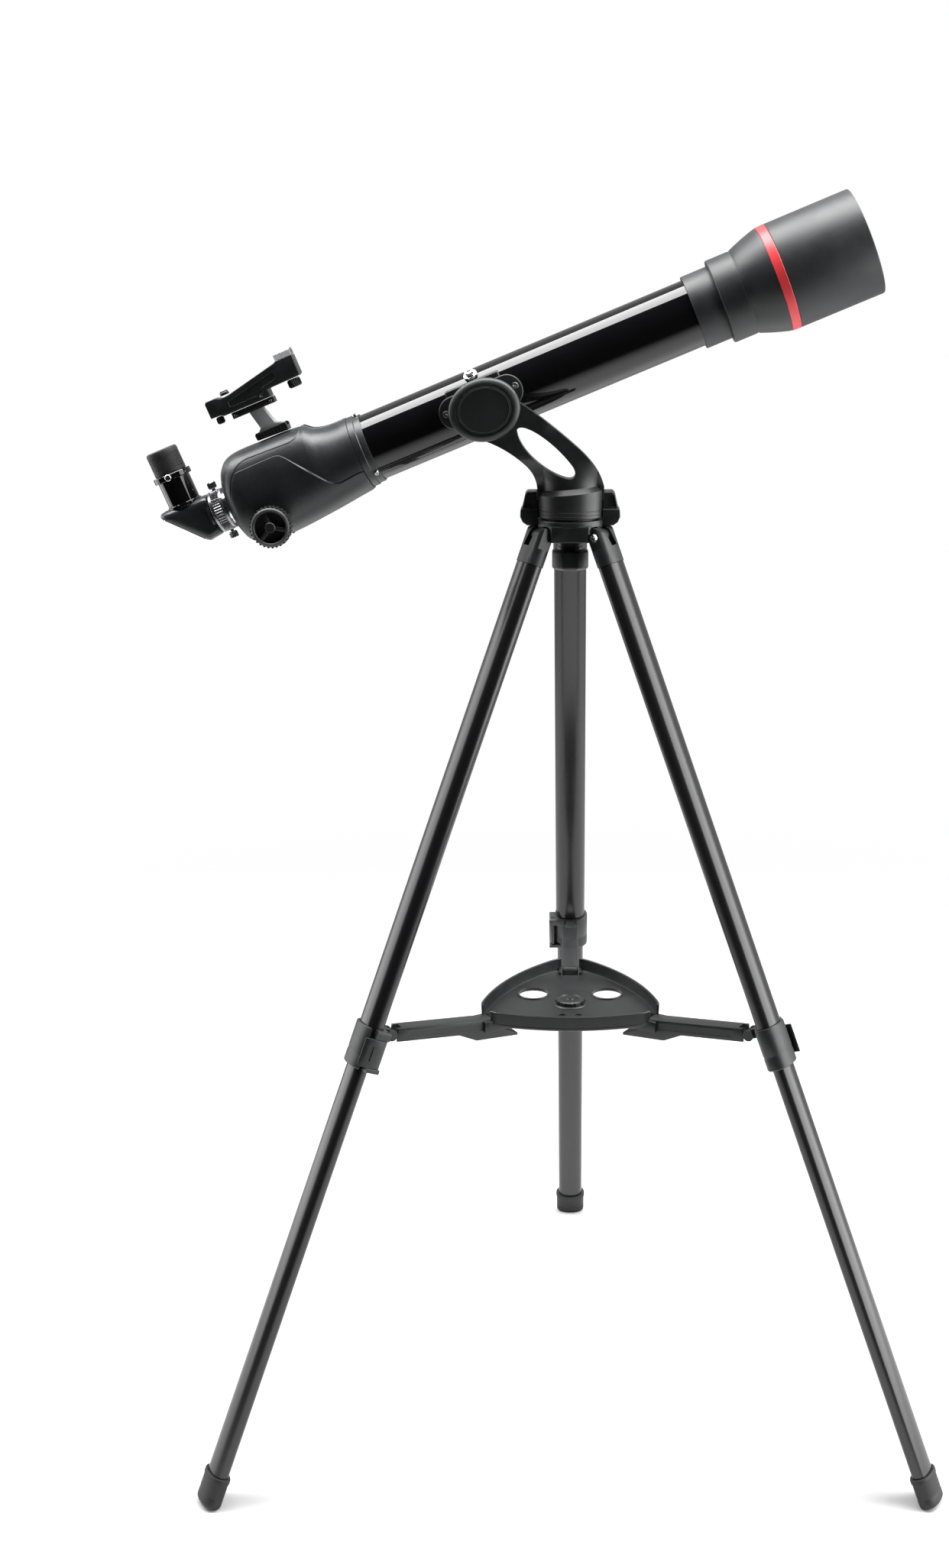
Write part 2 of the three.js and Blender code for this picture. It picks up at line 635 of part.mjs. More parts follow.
function focusShaft() {
  const reach = KNOB_INNER + 8.5;
  const pinion = rodY(PINION_RADIUS, -9, 9, KNOB_X, KNOB_Z, 18);
  return join(rodY(3, -reach, reach, KNOB_X, KNOB_Z, 14), pinion);
}

// Sliding tube with its rack below.
function drawtube() {
  const tube = turnedAlongX(ringProfile(DRAW_BORE, DRAW_RADIUS, -313, -170), 24);
  const rack = box(-288, -175, -3.5, 3.5, -23, -17.6);
  const hole = rodX(DRAW_BORE, -320, -160, 0, 0, 24);
  return cut(join(tube, rack), hole);
}

function drawtubeRing() {
  const bore = DRAW_RADIUS + GAP;
  const ring = turnedAlongX([[bore, -312.8], [RING_RADIUS - 1, -312.8], [RING_RADIUS, -311.8],
    [RING_RADIUS, -298], [RING_RADIUS - 1, -297], [bore, -297], [bore, -312.8]], 24);
  return cut(ring, rodZ(2.3, -40, 40, -305, 0, 8));
}

function thumbscrew(side) {
  const screw = turnedAlongZ([[0, DRAW_RADIUS + GAP], [2, DRAW_RADIUS + GAP], [2, 24.6], [4.4, 24.6],
    [4.8, 25.4], [4.8, 31.2], [4.2, 32], [0, 32]], 10);
  if (side < 0) {
    screw.rotateX(Math.PI);
  }
  return screw.translate(-305, 0, 0);
}

// Star diagonal: a nose in the drawtube, a three-cornered housing and an upright tube with a
// locking ring. Two bores meet at the mirror.
function diagonalBody() {
  const side = polygon([[-314, -22.5], [-330, -24.6], [-369.5, 17.5], [-368.5, 20], [-362, 21.8],
    [-322, 22], [-314, 21]]);
  const housing = prismY(side, -18, 18, 1);
  const nose = rodX(NOSE_RADIUS, -316, -272, 0, 0, 24);
  const tube = rodZ(EYE_TUBE_RADIUS, 20, 52, EYE_X, 0, 24);
  const ring = rodZ(20.6, 50.5, EYE_RING_TOP, EYE_X, 0, 24);
  const noseBore = rodX(13.5, -353, -260, 0, 0, 16);
  const eyeBore = rodZ(13.5, -14, 40, EYE_X, 0, 16);
  const barrelBore = rodZ(16.2, 26, 70, EYE_X, 0, 24);
  const screwBore = rodY(1.9, -30, 0, EYE_X, 53.4, 10);
  const mirrorSlot = box(-24.4, 24.4, -14.5, 14.5, -6.2, 3.1).rotateY(THREE.MathUtils.degToRad(46.8));
  const knee = mirrorSlot.translate(-348.5, 0, -4);
  return cut(join(housing, nose, tube, ring), noseBore, eyeBore, barrelBore, screwBore, knee);
}

function diagonalMirror() {
  const plate = box(-24, 24, -14, 14, 0, 2.8).rotateY(THREE.MathUtils.degToRad(46.8));
  return plate.translate(-348.5, 0, -4);
}

function eyepieceScrew() {
  const head = rodY(3.4, -24.6, -21.2, EYE_X, 53.4, 14);
  return join(head, rodY(1.6, -22, -16.4, EYE_X, 53.4, 10));
}

function eyepiece() {
  const top = EYE_RING_TOP + GAP;
  return turnedAlongZ([[12.4, 30], [15.8, 30], [15.8, top], [17.3, top], [17.3, EYE_TOP - 3],
    [16, EYE_TOP], [9, EYE_TOP], [9, 74], [12.4, 70], [12.4, 30]], 20).translate(EYE_X, 0, 0);
}

function eyeLens() {
  const lens = turnedAlongZ([[0, 63], [7, 63.6], [12, 65], [12, 67], [7, 68.4], [0, 69]], 16);
  return lens.translate(EYE_X, 0, 0);
}

// ---------------------------------------------------------------- finder

function finderShoe() {
  const block = box(-238, -203, -12, 12, 50.5, 60);
  const groove = box(-250, -190, -7.6, 7.6, 56, 62);
  return cut(block, groove, loftCutter());
}

// The housing's top, grown by the gap, that the shoe is cut to sit on.
function loftCutter() {
  return loftAlongX([
    [-185, 47, -40, 41],
    [-191, 50.3 + GAP, -45, 41],
    [-240, 52.3 + GAP, -49, 41.4],
    [-268, 51.8 + GAP, -47, 41],
  ], 24);
}

// Folded sheet-metal stalk: a foot in the shoe, a leaning neck and the rail's seat.
function finderBracket() {
  const neck = polygon([[-234, 56.4], [-206, 56.4], [-206, 60.6], [-214.5, 63], [-219, 82.6],
    [-235.5, 82.6], [-232, 63], [-234, 60.6]]);
  const stalk = prismY(neck, -7.2, 7.2, 1);
  const rail = box(-252.5, -204.7, -9, 9, 82.4, 89);
  return join(stalk, rail);
}

function finderBody() {
  const side = polygon([[-273, 92], [-260, 91], [-260, 89.3], [-206, 89.3], [-206, 97.6],
    [-170.5, 98], [-168.5, 100], [-168.5, 120.5], [-187, 120.5], [-189, 119], [-246, 108],
    [-256, 107], [-268, 109.5], [-273, 107]]);
  const solid = prismY(side, -12, 12, 1);
  const trough = box(-243, -186, -8.5, 8.5, 103, 130);
  return cut(solid, trough);
}

function finderWindow() {
  const arch = box(-187, -168.5, -11.5, 11.5, 120.8, 129.5);
  const hollow = box(-190, -165, -9.7, 9.7, 118, 127.7);
  return cut(arch, hollow);
}

function finderKnobFront() {
  return rodZ(7.4, 88.5, 97.4, -178.7, 0, 20);
}

function finderKnobRear() {
  return rodZ(4.4, 83, 90.8, -267, 0, 16);
}

function finderSwitch() {
  const dial = turnedAlongZ([[0, 109], [5, 109], [5, 111.8], [4, 112.6], [0, 112.6]], 16);
  return dial.translate(-252, 0, 0);
}

// ---------------------------------------------------------------- assembly

const telescope = new THREE.Group();

telescope.add(named('tripod_head', tripodHead(), darkPlastic));
telescope.add(named('azimuth_bearing', azimuthBearing(), darkPlastic));
telescope.add(named('head_knob', headKnob(), darkPlastic));

for (const [i, degrees] of LEG_ANGLES.entries()) {
  const number = i + 1;
  const side = new THREE.Group();
  side.rotation.z = THREE.MathUtils.degToRad(degrees);
  telescope.add(side);
  side.add(named(`leg_bolt_${number}`, legBolt(), chrome));

  const leg = new THREE.Group();
  leg.position.set(HINGE_RADIUS, 0, HINGE_HEIGHT);
  leg.rotation.y = -LEG_TILT;
  leg.updateMatrix();
  side.add(leg);
  leg.add(named(`leg_cap_${number}`, legCap(), darkPlastic));
  leg.add(named(`upper_tube_${number}`, upperTube(), anodised));
  leg.add(named(`leg_clamp_${number}`, legClamp(), darkPlastic));
  leg.add(named(`clamp_lever_${number}`, clampLever(), darkPlastic));
  leg.add(named(`lower_tube_${number}`, lowerTube(), anodised));
  leg.add(named(`foot_${number}`, boot(leg.matrix), rubber));

  const outer = new THREE.Vector3(-LINK_OUTER_INWARD, 0, -LINK_OUTER_ALONG).applyMatrix4(leg.matrix);
  side.add(named(`brace_link_${number}`, braceLink(outer), darkPlastic));
}

telescope.add(named('tray', tray(), darkPlastic));
telescope.add(named('tray_knob', trayKnob(), darkPlastic));
telescope.add(named('mount_arm', mountArm(), darkPlastic));
telescope.add(named('hub_cap', hubCap(), darkPlastic));

const tube = new THREE.Group();
tube.rotation.y = -TUBE_TILT;
tube.position.x = HUB_X - TUBE_OFFSET * Math.sin(TUBE_TILT);
tube.position.y = TUBE_Y;
tube.position.z = HUB_Z + TUBE_OFFSET * Math.cos(TUBE_TILT);
telescope.add(tube);
tube.add(named('cradle', cradle(), darkPlastic));
tube.add(named('altitude_axle', altitudeAxle(), chrome));
tube.add(named('cradle_post', cradlePost(), chrome));
tube.add(named('main_tube', mainTube(), glossBlack));
tube.add(named('objective_cell', objectiveCell(), darkPlastic));
tube.add(named('objective_lens', objectiveLens(), glass));
tube.add(named('dew_shield', dewShield(), housingPlastic));
tube.add(named('red_band', redBand(), redPaint));
tube.add(named('rear_ring', rearRing(), darkPlastic));
tube.add(named('rear_body', rearBody(), housingPlastic));
tube.add(named('focus_knob_near', focusKnob(-1), rubber));
tube.add(named('focus_knob_far', focusKnob(1), rubber));
tube.add(named('focus_shaft', focusShaft(), chrome));
tube.add(named('drawtube', drawtube(), chrome));
tube.add(named('drawtube_ring', drawtubeRing(), darkPlastic));
tube.add(named('thumbscrew_top', thumbscrew(1), chrome));
tube.add(named('thumbscrew_bottom', thumbscrew(-1), chrome));
tube.add(named('diagonal_body', diagonalBody(), darkPlastic));
tube.add(named('diagonal_mirror', diagonalMirror(), mirrorMetal));
tube.add(named('eyepiece', eyepiece(), rubber));
tube.add(named('eye_lens', eyeLens(), glass));
tube.add(named('eyepiece_screw', eyepieceScrew(), chrome));
tube.add(named('finder_shoe', finderShoe(), darkPlastic));
tube.add(named('finder_bracket', finderBracket(), sheetMetal));
tube.add(named('finder_body', finderBody(), darkPlastic));
tube.add(named('finder_window', finderWindow(), glass));
tube.add(named('finder_knob_front', finderKnobFront(), darkPlastic));
tube.add(named('finder_knob_rear', finderKnobRear(), darkPlastic));
tube.add(named('finder_switch', finderSwitch(), darkPlastic));

// Put the origin in the middle of the box, on the floor.
const bounds = new THREE.Box3().setFromObject(telescope, true);
const middle = bounds.getCenter(new THREE.Vector3());
telescope.position.set(-middle.x, -middle.y, -bounds.min.z);

export default telescope;
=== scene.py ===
import math

import bmesh
import bpy
from mathutils import Matrix, Vector


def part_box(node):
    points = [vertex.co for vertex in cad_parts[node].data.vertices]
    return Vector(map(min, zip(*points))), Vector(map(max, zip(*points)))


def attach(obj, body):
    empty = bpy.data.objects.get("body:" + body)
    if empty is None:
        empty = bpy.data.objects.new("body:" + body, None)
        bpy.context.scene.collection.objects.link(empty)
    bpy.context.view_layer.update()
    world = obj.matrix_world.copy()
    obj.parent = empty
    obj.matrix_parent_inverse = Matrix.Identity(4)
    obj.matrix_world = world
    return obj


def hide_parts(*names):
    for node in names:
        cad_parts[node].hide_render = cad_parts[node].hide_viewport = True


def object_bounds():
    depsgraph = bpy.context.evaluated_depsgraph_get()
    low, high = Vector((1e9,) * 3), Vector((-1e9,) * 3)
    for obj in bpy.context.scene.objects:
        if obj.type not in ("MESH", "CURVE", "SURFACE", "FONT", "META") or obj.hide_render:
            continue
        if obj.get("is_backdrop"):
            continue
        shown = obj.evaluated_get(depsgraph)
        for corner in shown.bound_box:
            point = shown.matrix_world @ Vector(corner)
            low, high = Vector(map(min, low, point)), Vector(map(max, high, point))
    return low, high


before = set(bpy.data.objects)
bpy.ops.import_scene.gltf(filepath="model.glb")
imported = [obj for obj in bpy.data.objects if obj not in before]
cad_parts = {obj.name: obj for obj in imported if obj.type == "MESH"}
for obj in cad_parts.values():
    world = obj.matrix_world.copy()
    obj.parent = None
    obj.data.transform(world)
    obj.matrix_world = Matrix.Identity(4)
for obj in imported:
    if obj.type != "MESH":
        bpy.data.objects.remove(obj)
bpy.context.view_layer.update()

scene = bpy.context.scene

# ------------------------------------------------------------------------------------------
# Studio: a pale floor, a long soft box overhead, one at each side, and a dark room behind
# the camera, which leaves the dark core that round black pieces show between two pale bands.

knob_low, knob_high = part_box("tray_knob")
stand_x = (knob_low[0] + knob_high[0]) / 2
stand_y = (knob_low[1] + knob_high[1]) / 2

scene.view_settings.view_transform = "Standard"
scene.view_settings.look = "None"

camera_data = bpy.data.cameras.new("camera")
camera_data.sensor_width = 36.0
camera_data.lens = 44.54
camera_data.shift_x = -0.061
camera_data.clip_end = 60.0
camera = bpy.data.objects.new("camera", camera_data)
scene.collection.objects.link(camera)
CAMERA_BACK, CAMERA_UP, CAMERA_DOWNWARD = 2.0519, 1.2948, math.radians(15.0)
camera.location = (stand_x, stand_y - CAMERA_BACK, CAMERA_UP)
camera.rotation_euler = (math.radians(90.0) - CAMERA_DOWNWARD, 0.0, 0.0)
scene.camera = camera


def soft_box(name, at, aim, width, height, watts):
    data = bpy.data.lights.new(name, "AREA")
    data.shape = "RECTANGLE"
    data.size = width
    data.size_y = height
    data.energy = watts
    light = bpy.data.objects.new(name, data)
    scene.collection.objects.link(light)
    light.location = at
    light.rotation_euler = (Vector(aim) - Vector(at)).to_track_quat("-Z", "Y").to_euler()
    return light


soft_box("overhead_box", (0.1, 0.02, 2.7), (0.1, 0.02, 1.0), 5.4, 1.05, 240.0)
soft_box("right_box", (2.3, -0.45, 1.1), (0.0, 0.0, 0.8), 2.4, 2.4, 95.0)
soft_box("left_box", (-2.5, 0.55, 1.1), (0.0, 0.0, 0.8), 2.0, 2.4, 42.0)


def add_node(tree, kind, values=(), **settings):
    """A node with its settings, and the values of the inputs that nothing feeds."""
    node = tree.nodes.new(kind)
    for label, value in settings.items():
        setattr(node, label, value)
    for entry, value in dict(values).items():
        node.inputs[entry].default_value = value
    return node


def wire(tree, source, output, target, entry):
    tree.links.new(source.outputs[output], target.inputs[entry])


world = bpy.data.worlds.new("studio")
scene.world = world
world.use_nodes = True
sky = world.node_tree
sky.nodes.clear()
sky_out = add_node(sky, "ShaderNodeOutputWorld")
sky_mix = add_node(sky, "ShaderNodeMixShader")
seen = add_node(sky, "ShaderNodeBackground", {"Color": (1.0, 1.0, 1.0, 1.0), "Strength": 1.0})
lit = add_node(sky, "ShaderNodeBackground", {"Strength": 0.9})
room = add_node(sky, "ShaderNodeTexCoord")
room_parts = add_node(sky, "ShaderNodeSeparateXYZ")
room_ramp = add_node(sky, "ShaderNodeMapRange",
                     {"From Min": -0.3, "From Max": 0.7, "To Min": 0.02, "To Max": 0.60},
                     interpolation_type="SMOOTHSTEP")
light_path = add_node(sky, "ShaderNodeLightPath")
wire(sky, room, "Generated", room_parts, "Vector")
wire(sky, room_parts, "Y", room_ramp, "Value")
wire(sky, room_ramp, "Result", lit, "Color")
wire(sky, light_path, "Is Camera Ray", sky_mix, "Fac")
wire(sky, lit, "Background", sky_mix, 1)
wire(sky, seen, "Background", sky_mix, 2)
wire(sky, sky_mix, "Shader", sky_out, "Surface")

floor_mesh = bpy.data.meshes.new("floor")
floor_reach = 14.0
floor_mesh.from_pydata([(-floor_reach, -floor_reach, 0.0), (floor_reach, -floor_reach, 0.0),
                        (floor_reach, floor_reach, 0.0), (-floor_reach, floor_reach, 0.0)],
                       [], [(0, 1, 2, 3)])
floor = bpy.data.objects.new("floor", floor_mesh)
scene.collection.objects.link(floor)
floor_paint = bpy.data.materials.new("floor_paper")
floor_paint.use_nodes = True
floor_shader = floor_paint.node_tree.nodes["Principled BSDF"]
FLOOR_GREY = 0.62
floor_shader.inputs["Base Color"].default_value = (FLOOR_GREY, FLOOR_GREY, FLOOR_GREY, 1.0)
floor_shader.inputs["Roughness"].default_value = 0.9
floor_shader.inputs["Specular IOR Level"].default_value = 0.1
floor_tree = floor_paint.node_tree
floor_place = add_node(floor_tree, "ShaderNodeTexCoord")
floor_far = add_node(floor_tree, "ShaderNodeVectorMath", operation="LENGTH")
FADE_FROM, FADE_TO = 0.7, 2.4
floor_fade = add_node(floor_tree, "ShaderNodeMapRange",
                      {"From Min": FADE_FROM, "From Max": FADE_TO, "To Min": 1.0, "To Max": 0.0},
                      interpolation_type="SMOOTHSTEP")
wire(floor_tree, floor_place, "Object", floor_far, 0)
wire(floor_tree, floor_far, "Value", floor_fade, "Value")
wire(floor_tree, floor_fade, "Result", floor_shader, "Alpha")
floor_mesh.materials.append(floor_paint)
floor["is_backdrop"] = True

# ------------------------------------------------------------------------------------------
# Tripod head: one dark moulding. A three-sided block has a pocket and a tongue for each leg,
# a round plate carries the turning drum, and two framed ears rise beside it from a flared rim.

MM = 0.001
STAND = Matrix.Translation((stand_x / MM, stand_y / MM, 0.0))
LEG_TURNS = [math.radians(turn) for turn in (90.0, 210.0, 330.0)]


def ring_of(count, radius, height, start=0.0):
    return [(radius * math.cos(start + 2 * math.pi * i / count),
             radius * math.sin(start + 2 * math.pi * i / count), height) for i in range(count)]


def loft(rings, hollow=False, capped=True):
    """A skin through rings of equal length. A hollow loft joins its last ring to its first."""
    bm = bmesh.new()
    made = [[bm.verts.new(point) for point in ring] for ring in rings]
    pairs = list(zip(made, made[1:]))
    if hollow:
        pairs.append((made[-1], made[0]))
    for low, high in pairs:
        for i in range(len(low)):
            j = (i + 1) % len(low)
            bm.faces.new((low[i], low[j], high[j], high[i]))
    if capped and not hollow:
        bm.faces.new(list(reversed(made[0])))
        bm.faces.new(made[-1])
    bmesh.ops.recalc_face_normals(bm, faces=bm.faces)
    return bm


def turned(profile, count=64, hollow=False, start=0.0):
    """A body turned about Z from (radius, height) pairs."""
    return loft([ring_of(count, radius, height, start) for radius, height in profile], hollow)


def prism(outline, low, high):
    """A plate drawn in x and y, from z = low to z = high."""
    return loft([[(x, y, low) for x, y in outline], [(x, y, high) for x, y in outline]])


def side_prism(outline, near, far):
    """A plate drawn in x and z, from y = near to y = far."""
    return loft([[(x, near, z) for x, z in outline], [(x, far, z) for x, z in outline]])


def block(x0, x1, y0, y1, z0, z1):
    return prism([(x0, y0), (x1, y0), (x1, y1), (x0, y1)], z0, z1)


def moved(bm, matrix):
    bmesh.ops.transform(bm, matrix=matrix, verts=bm.verts)
    if matrix.determinant() < 0:
        bmesh.ops.reverse_faces(bm, faces=bm.faces)
    return bm


def rod(axis, radius, low, high, at=(0.0, 0.0, 0.0), count=40):
    """A plain round bar along x, y or z, used mostly as a drill."""
    turn = {"x": Matrix.Rotation(math.pi / 2, 4, "Y"), "y": Matrix.Rotation(-math.pi / 2, 4, "X"),
            "z": Matrix.Identity(4)}[axis]
    bar = turned([(radius, low), (radius, high)], count)
    return moved(bar, Matrix.Translation(at) @ turn)


def round_edges(bm, width, steps=2, angle=30.0):
    """Rounds every edge that turns by more than the angle."""
    limit = math.radians(angle)
    edges = [e for e in bm.edges if len(e.link_faces) == 2 and e.calc_face_angle(0.0) > limit]
    bmesh.ops.bevel(bm, geom=edges, offset=width, segments=steps, profile=0.5, affect="EDGES",
                    clamp_overlap=True)
    return bm


def temporary(bm):
    mesh = bpy.data.meshes.new("tool")
    bm.to_mesh(mesh)
    bm.free()
    tool = bpy.data.objects.new("tool", mesh)
    scene.collection.objects.link(tool)
    return tool


def worked(bm, *steps):
    """Joins or cuts closed bodies, in order. Each step is ("join" or "cut" or "keep", body)."""
    kinds = {"join": "UNION", "cut": "DIFFERENCE", "keep": "INTERSECT"}
    base = temporary(bm)
    tools = []
    for kind, body in steps:
        tool = temporary(body)
        tools.append(tool)
        step = base.modifiers.new(kind, "BOOLEAN")
        step.operation = kinds[kind]
        step.solver = "EXACT"
        step.object = tool
    bpy.context.view_layer.update()
    done = bpy.data.meshes.new_from_object(base.evaluated_get(bpy.context.evaluated_depsgraph_get()))
    result = bmesh.new()
    result.from_mesh(done)
    bmesh.ops.remove_doubles(result, verts=result.verts, dist=0.002)
    bmesh.ops.dissolve_limit(result, angle_limit=math.radians(0.5), verts=result.verts,
                             edges=result.edges)
    for thing in [base, *tools]:
        old = thing.data
        bpy.data.objects.remove(thing)
        bpy.data.meshes.remove(old)
    bpy.data.meshes.remove(done)
    return result


def keep_own_place(mesh, unit=1.0):
    """Stores each point's place, in the piece's own millimetres, for its finish to read."""
    own = mesh.attributes.new("own_place", "FLOAT_VECTOR", "POINT")
    values = []
    for vertex in mesh.vertices:
        values.extend(vertex.co / unit)
    own.data.foreach_set("vector", values)


def hand_over(name, mesh, body, material, nodes, sharp, bevel=0.0, steps=2):
    """Makes a placed mesh a piece, with its finish, its body and the nodes it stands for."""
    mesh.polygons.foreach_set("use_smooth", [True] * len(mesh.polygons))
    mesh.set_sharp_from_angle(angle=math.radians(sharp))
    mesh.materials.clear()
    mesh.materials.append(material)
    piece = bpy.data.objects.new(name, mesh)
    scene.collection.objects.link(piece)
    if bevel > 0.0:
        rounding = piece.modifiers.new("rounded edges", "BEVEL")
        rounding.width = bevel * MM
        rounding.segments = steps
        rounding.limit_method = "ANGLE"
        rounding.angle_limit = math.radians(sharp)
        rounding.harden_normals = True
    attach(piece, body)
    if nodes:
        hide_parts(*nodes)
    return piece


def set_piece(name, bm, place, body, material, nodes=(), sharp=32.0, bevel=0.0, steps=2):
    """Puts a finished body on the stand."""
    mesh = bpy.data.meshes.new(name)
    bmesh.ops.triangulate(bm, faces=[f for f in bm.faces if len(f.verts) > 4])
    bm.to_mesh(mesh)
    bm.free()
    keep_own_place(mesh)
    mesh.transform(Matrix.Scale(MM, 4) @ STAND @ place)
    return hand_over(name, mesh, body, material, nodes, sharp, bevel, steps)


def node_group(name, inputs, outputs):
    """An empty shader group with named sockets."""
    group = bpy.data.node_groups.new(name, "ShaderNodeTree")
    for label, kind, value in inputs:
        socket = group.interface.new_socket(name=label, in_out="INPUT", socket_type=kind)
        if value is not None:
            socket.default_value = value
    for label, kind in outputs:
        group.interface.new_socket(name=label, in_out="OUTPUT", socket_type=kind)
    return group, group.nodes.new("NodeGroupInput"), group.nodes.new("NodeGroupOutput")


# Grain: the fine pebbling of a spark-eroded mould, and the slow patchiness over it.
grain_group, grain_in, grain_out = node_group(
    "surface grain",
    [("Place", "NodeSocketVector", None), ("Fineness", "NodeSocketFloat", 1400.0)],
    [("Height", "NodeSocketFloat"), ("Patches", "NodeSocketFloat")])
grain_fine = add_node(grain_group, "ShaderNodeTexNoise", {"Detail": 2.0, "Roughness": 0.6})
grain_slow = add_node(grain_group, "ShaderNodeTexNoise",
                      {"Scale": 26.0, "Detail": 4.0, "Roughness": 0.65})
wire(grain_group, grain_in, "Place", grain_fine, "Vector")
wire(grain_group, grain_in, "Fineness", grain_fine, "Scale")
wire(grain_group, grain_in, "Place", grain_slow, "Vector")
wire(grain_group, grain_fine, "Fac", grain_out, "Height")
wire(grain_group, grain_slow, "Fac", grain_out, "Patches")

# Edge rub: paler arrises where hands and cases polish a moulding.
rub_group, rub_in, rub_out = node_group(
    "edge rub",
    [("Place", "NodeSocketVector", None), ("Reach", "NodeSocketFloat", 0.0009),
     ("Amount", "NodeSocketFloat", 0.5)],
    [("Mask", "NodeSocketFloat")])
rub_bevel = add_node(rub_group, "ShaderNodeBevel", samples=4)
rub_faces = add_node(rub_group, "ShaderNodeNewGeometry")
rub_dot = add_node(rub_group, "ShaderNodeVectorMath", operation="DOT_PRODUCT")
rub_range = add_node(rub_group, "ShaderNodeMapRange", {"From Min": 0.995, "From Max": 0.86})
rub_noise = add_node(rub_group, "ShaderNodeTexNoise", {"Scale": 180.0, "Detail": 3.0})
rub_keep = add_node(rub_group, "ShaderNodeMath", operation="MULTIPLY")
rub_level = add_node(rub_group, "ShaderNodeMath", operation="MULTIPLY", use_clamp=True)
wire(rub_group, rub_in, "Reach", rub_bevel, "Radius")
wire(rub_group, rub_bevel, "Normal", rub_dot, 0)
wire(rub_group, rub_faces, "Normal", rub_dot, 1)
wire(rub_group, rub_dot, "Value", rub_range, "Value")
wire(rub_group, rub_in, "Place", rub_noise, "Vector")
wire(rub_group, rub_noise, "Fac", rub_keep, 0)
wire(rub_group, rub_range, "Result", rub_keep, 1)
wire(rub_group, rub_keep, "Value", rub_level, 0)
wire(rub_group, rub_in, "Amount", rub_level, 1)
wire(rub_group, rub_level, "Value", rub_out, "Mask")

# Dust: a thin, uneven film on faces that look up.
dust_group, dust_in, dust_out = node_group(
    "settled dust",
    [("Place", "NodeSocketVector", None), ("Amount", "NodeSocketFloat", 0.2)],
    [("Mask", "NodeSocketFloat")])
dust_faces = add_node(dust_group, "ShaderNodeNewGeometry")
dust_parts = add_node(dust_group, "ShaderNodeSeparateXYZ")
dust_up = add_node(dust_group, "ShaderNodeMapRange", {"From Min": 0.35, "From Max": 1.0})
dust_noise = add_node(dust_group, "ShaderNodeTexNoise",
                      {"Scale": 95.0, "Detail": 6.0, "Roughness": 0.7})
dust_film = add_node(dust_group, "ShaderNodeMath", operation="MULTIPLY")
dust_level = add_node(dust_group, "ShaderNodeMath", operation="MULTIPLY", use_clamp=True)
wire(dust_group, dust_faces, "Normal", dust_parts, "Vector")
wire(dust_group, dust_parts, "Z", dust_up, "Value")
wire(dust_group, dust_in, "Place", dust_noise, "Vector")
wire(dust_group, dust_noise, "Fac", dust_film, 0)
wire(dust_group, dust_up, "Result", dust_film, 1)
wire(dust_group, dust_film, "Value", dust_level, 0)
wire(dust_group, dust_in, "Amount", dust_level, 1)
wire(dust_group, dust_level, "Value", dust_out, "Mask")


def finish(name, colour, patch_colour, rough, rough_spread, fineness, depth, rub=0.0,
           rub_colour=(0.12, 0.12, 0.12), dust=0.0, metallic=0.0, coat=0.0, coat_rough=0.05,
           specular=0.5, stretch=(1.0, 1.0, 1.0)):
    """A finish with grain, patches of tone and gloss, rubbed edges and a film of dust."""
    material = bpy.data.materials.new(name)
    material.use_nodes = True
    tree = material.node_tree
    shader = tree.nodes["Principled BSDF"]
    own = add_node(tree, "ShaderNodeAttribute", attribute_name="own_place")
    to_metres = add_node(tree, "ShaderNodeMapping", {"Scale": [MM * s for s in stretch]})
    wire(tree, own, "Vector", to_metres, "Vector")
    grain = add_node(tree, "ShaderNodeGroup", {"Fineness": fineness}, node_tree=grain_group)
    wire(tree, to_metres, "Vector", grain, "Place")
    tone = add_node(tree, "ShaderNodeMix",
                    {6: (*colour, 1.0), 7: (*patch_colour, 1.0)}, data_type="RGBA")
    spread = add_node(tree, "ShaderNodeMapRange", {"From Min": 0.32, "From Max": 0.68})
    wire(tree, grain, "Patches", spread, "Value")
    wire(tree, spread, "Result", tone, 0)
    colour_from = tone.outputs[2]
    gloss = add_node(tree, "ShaderNodeMapRange",
                     {"From Min": 0.3, "From Max": 0.7, "To Min": rough - rough_spread,
                      "To Max": rough + rough_spread})
    wire(tree, grain, "Patches", gloss, "Value")
    wire(tree, gloss, "Result", shader, "Roughness")
    for group, amount, worn in ((rub_group, rub, rub_colour), (dust_group, dust, (0.3, 0.29, 0.28))):
        if amount <= 0.0:
            continue
        mask = add_node(tree, "ShaderNodeGroup", {"Amount": amount}, node_tree=group)
        wire(tree, to_metres, "Vector", mask, "Place")
        over = add_node(tree, "ShaderNodeMix", {7: (*worn, 1.0)}, data_type="RGBA")
        wire(tree, mask, "Mask", over, 0)
        tree.links.new(colour_from, over.inputs[6])
        colour_from = over.outputs[2]
    tree.links.new(colour_from, shader.inputs["Base Color"])
    bump = add_node(tree, "ShaderNodeBump", {"Strength": 1.0, "Distance": depth})
    wire(tree, grain, "Height", bump, "Height")
    wire(tree, bump, "Normal", shader, "Normal")
    shader.inputs["Metallic"].default_value = metallic
    shader.inputs["Specular IOR Level"].default_value = specular
    shader.inputs["Coat Weight"].default_value = coat
    shader.inputs["Coat Roughness"].default_value = coat_rough
    return material


moulded = finish("moulded_black_plastic", (0.007, 0.0075, 0.008), (0.011, 0.012, 0.013), 0.38, 0.06,
                 1500.0, 0.00008, rub=0.5, dust=0.05)

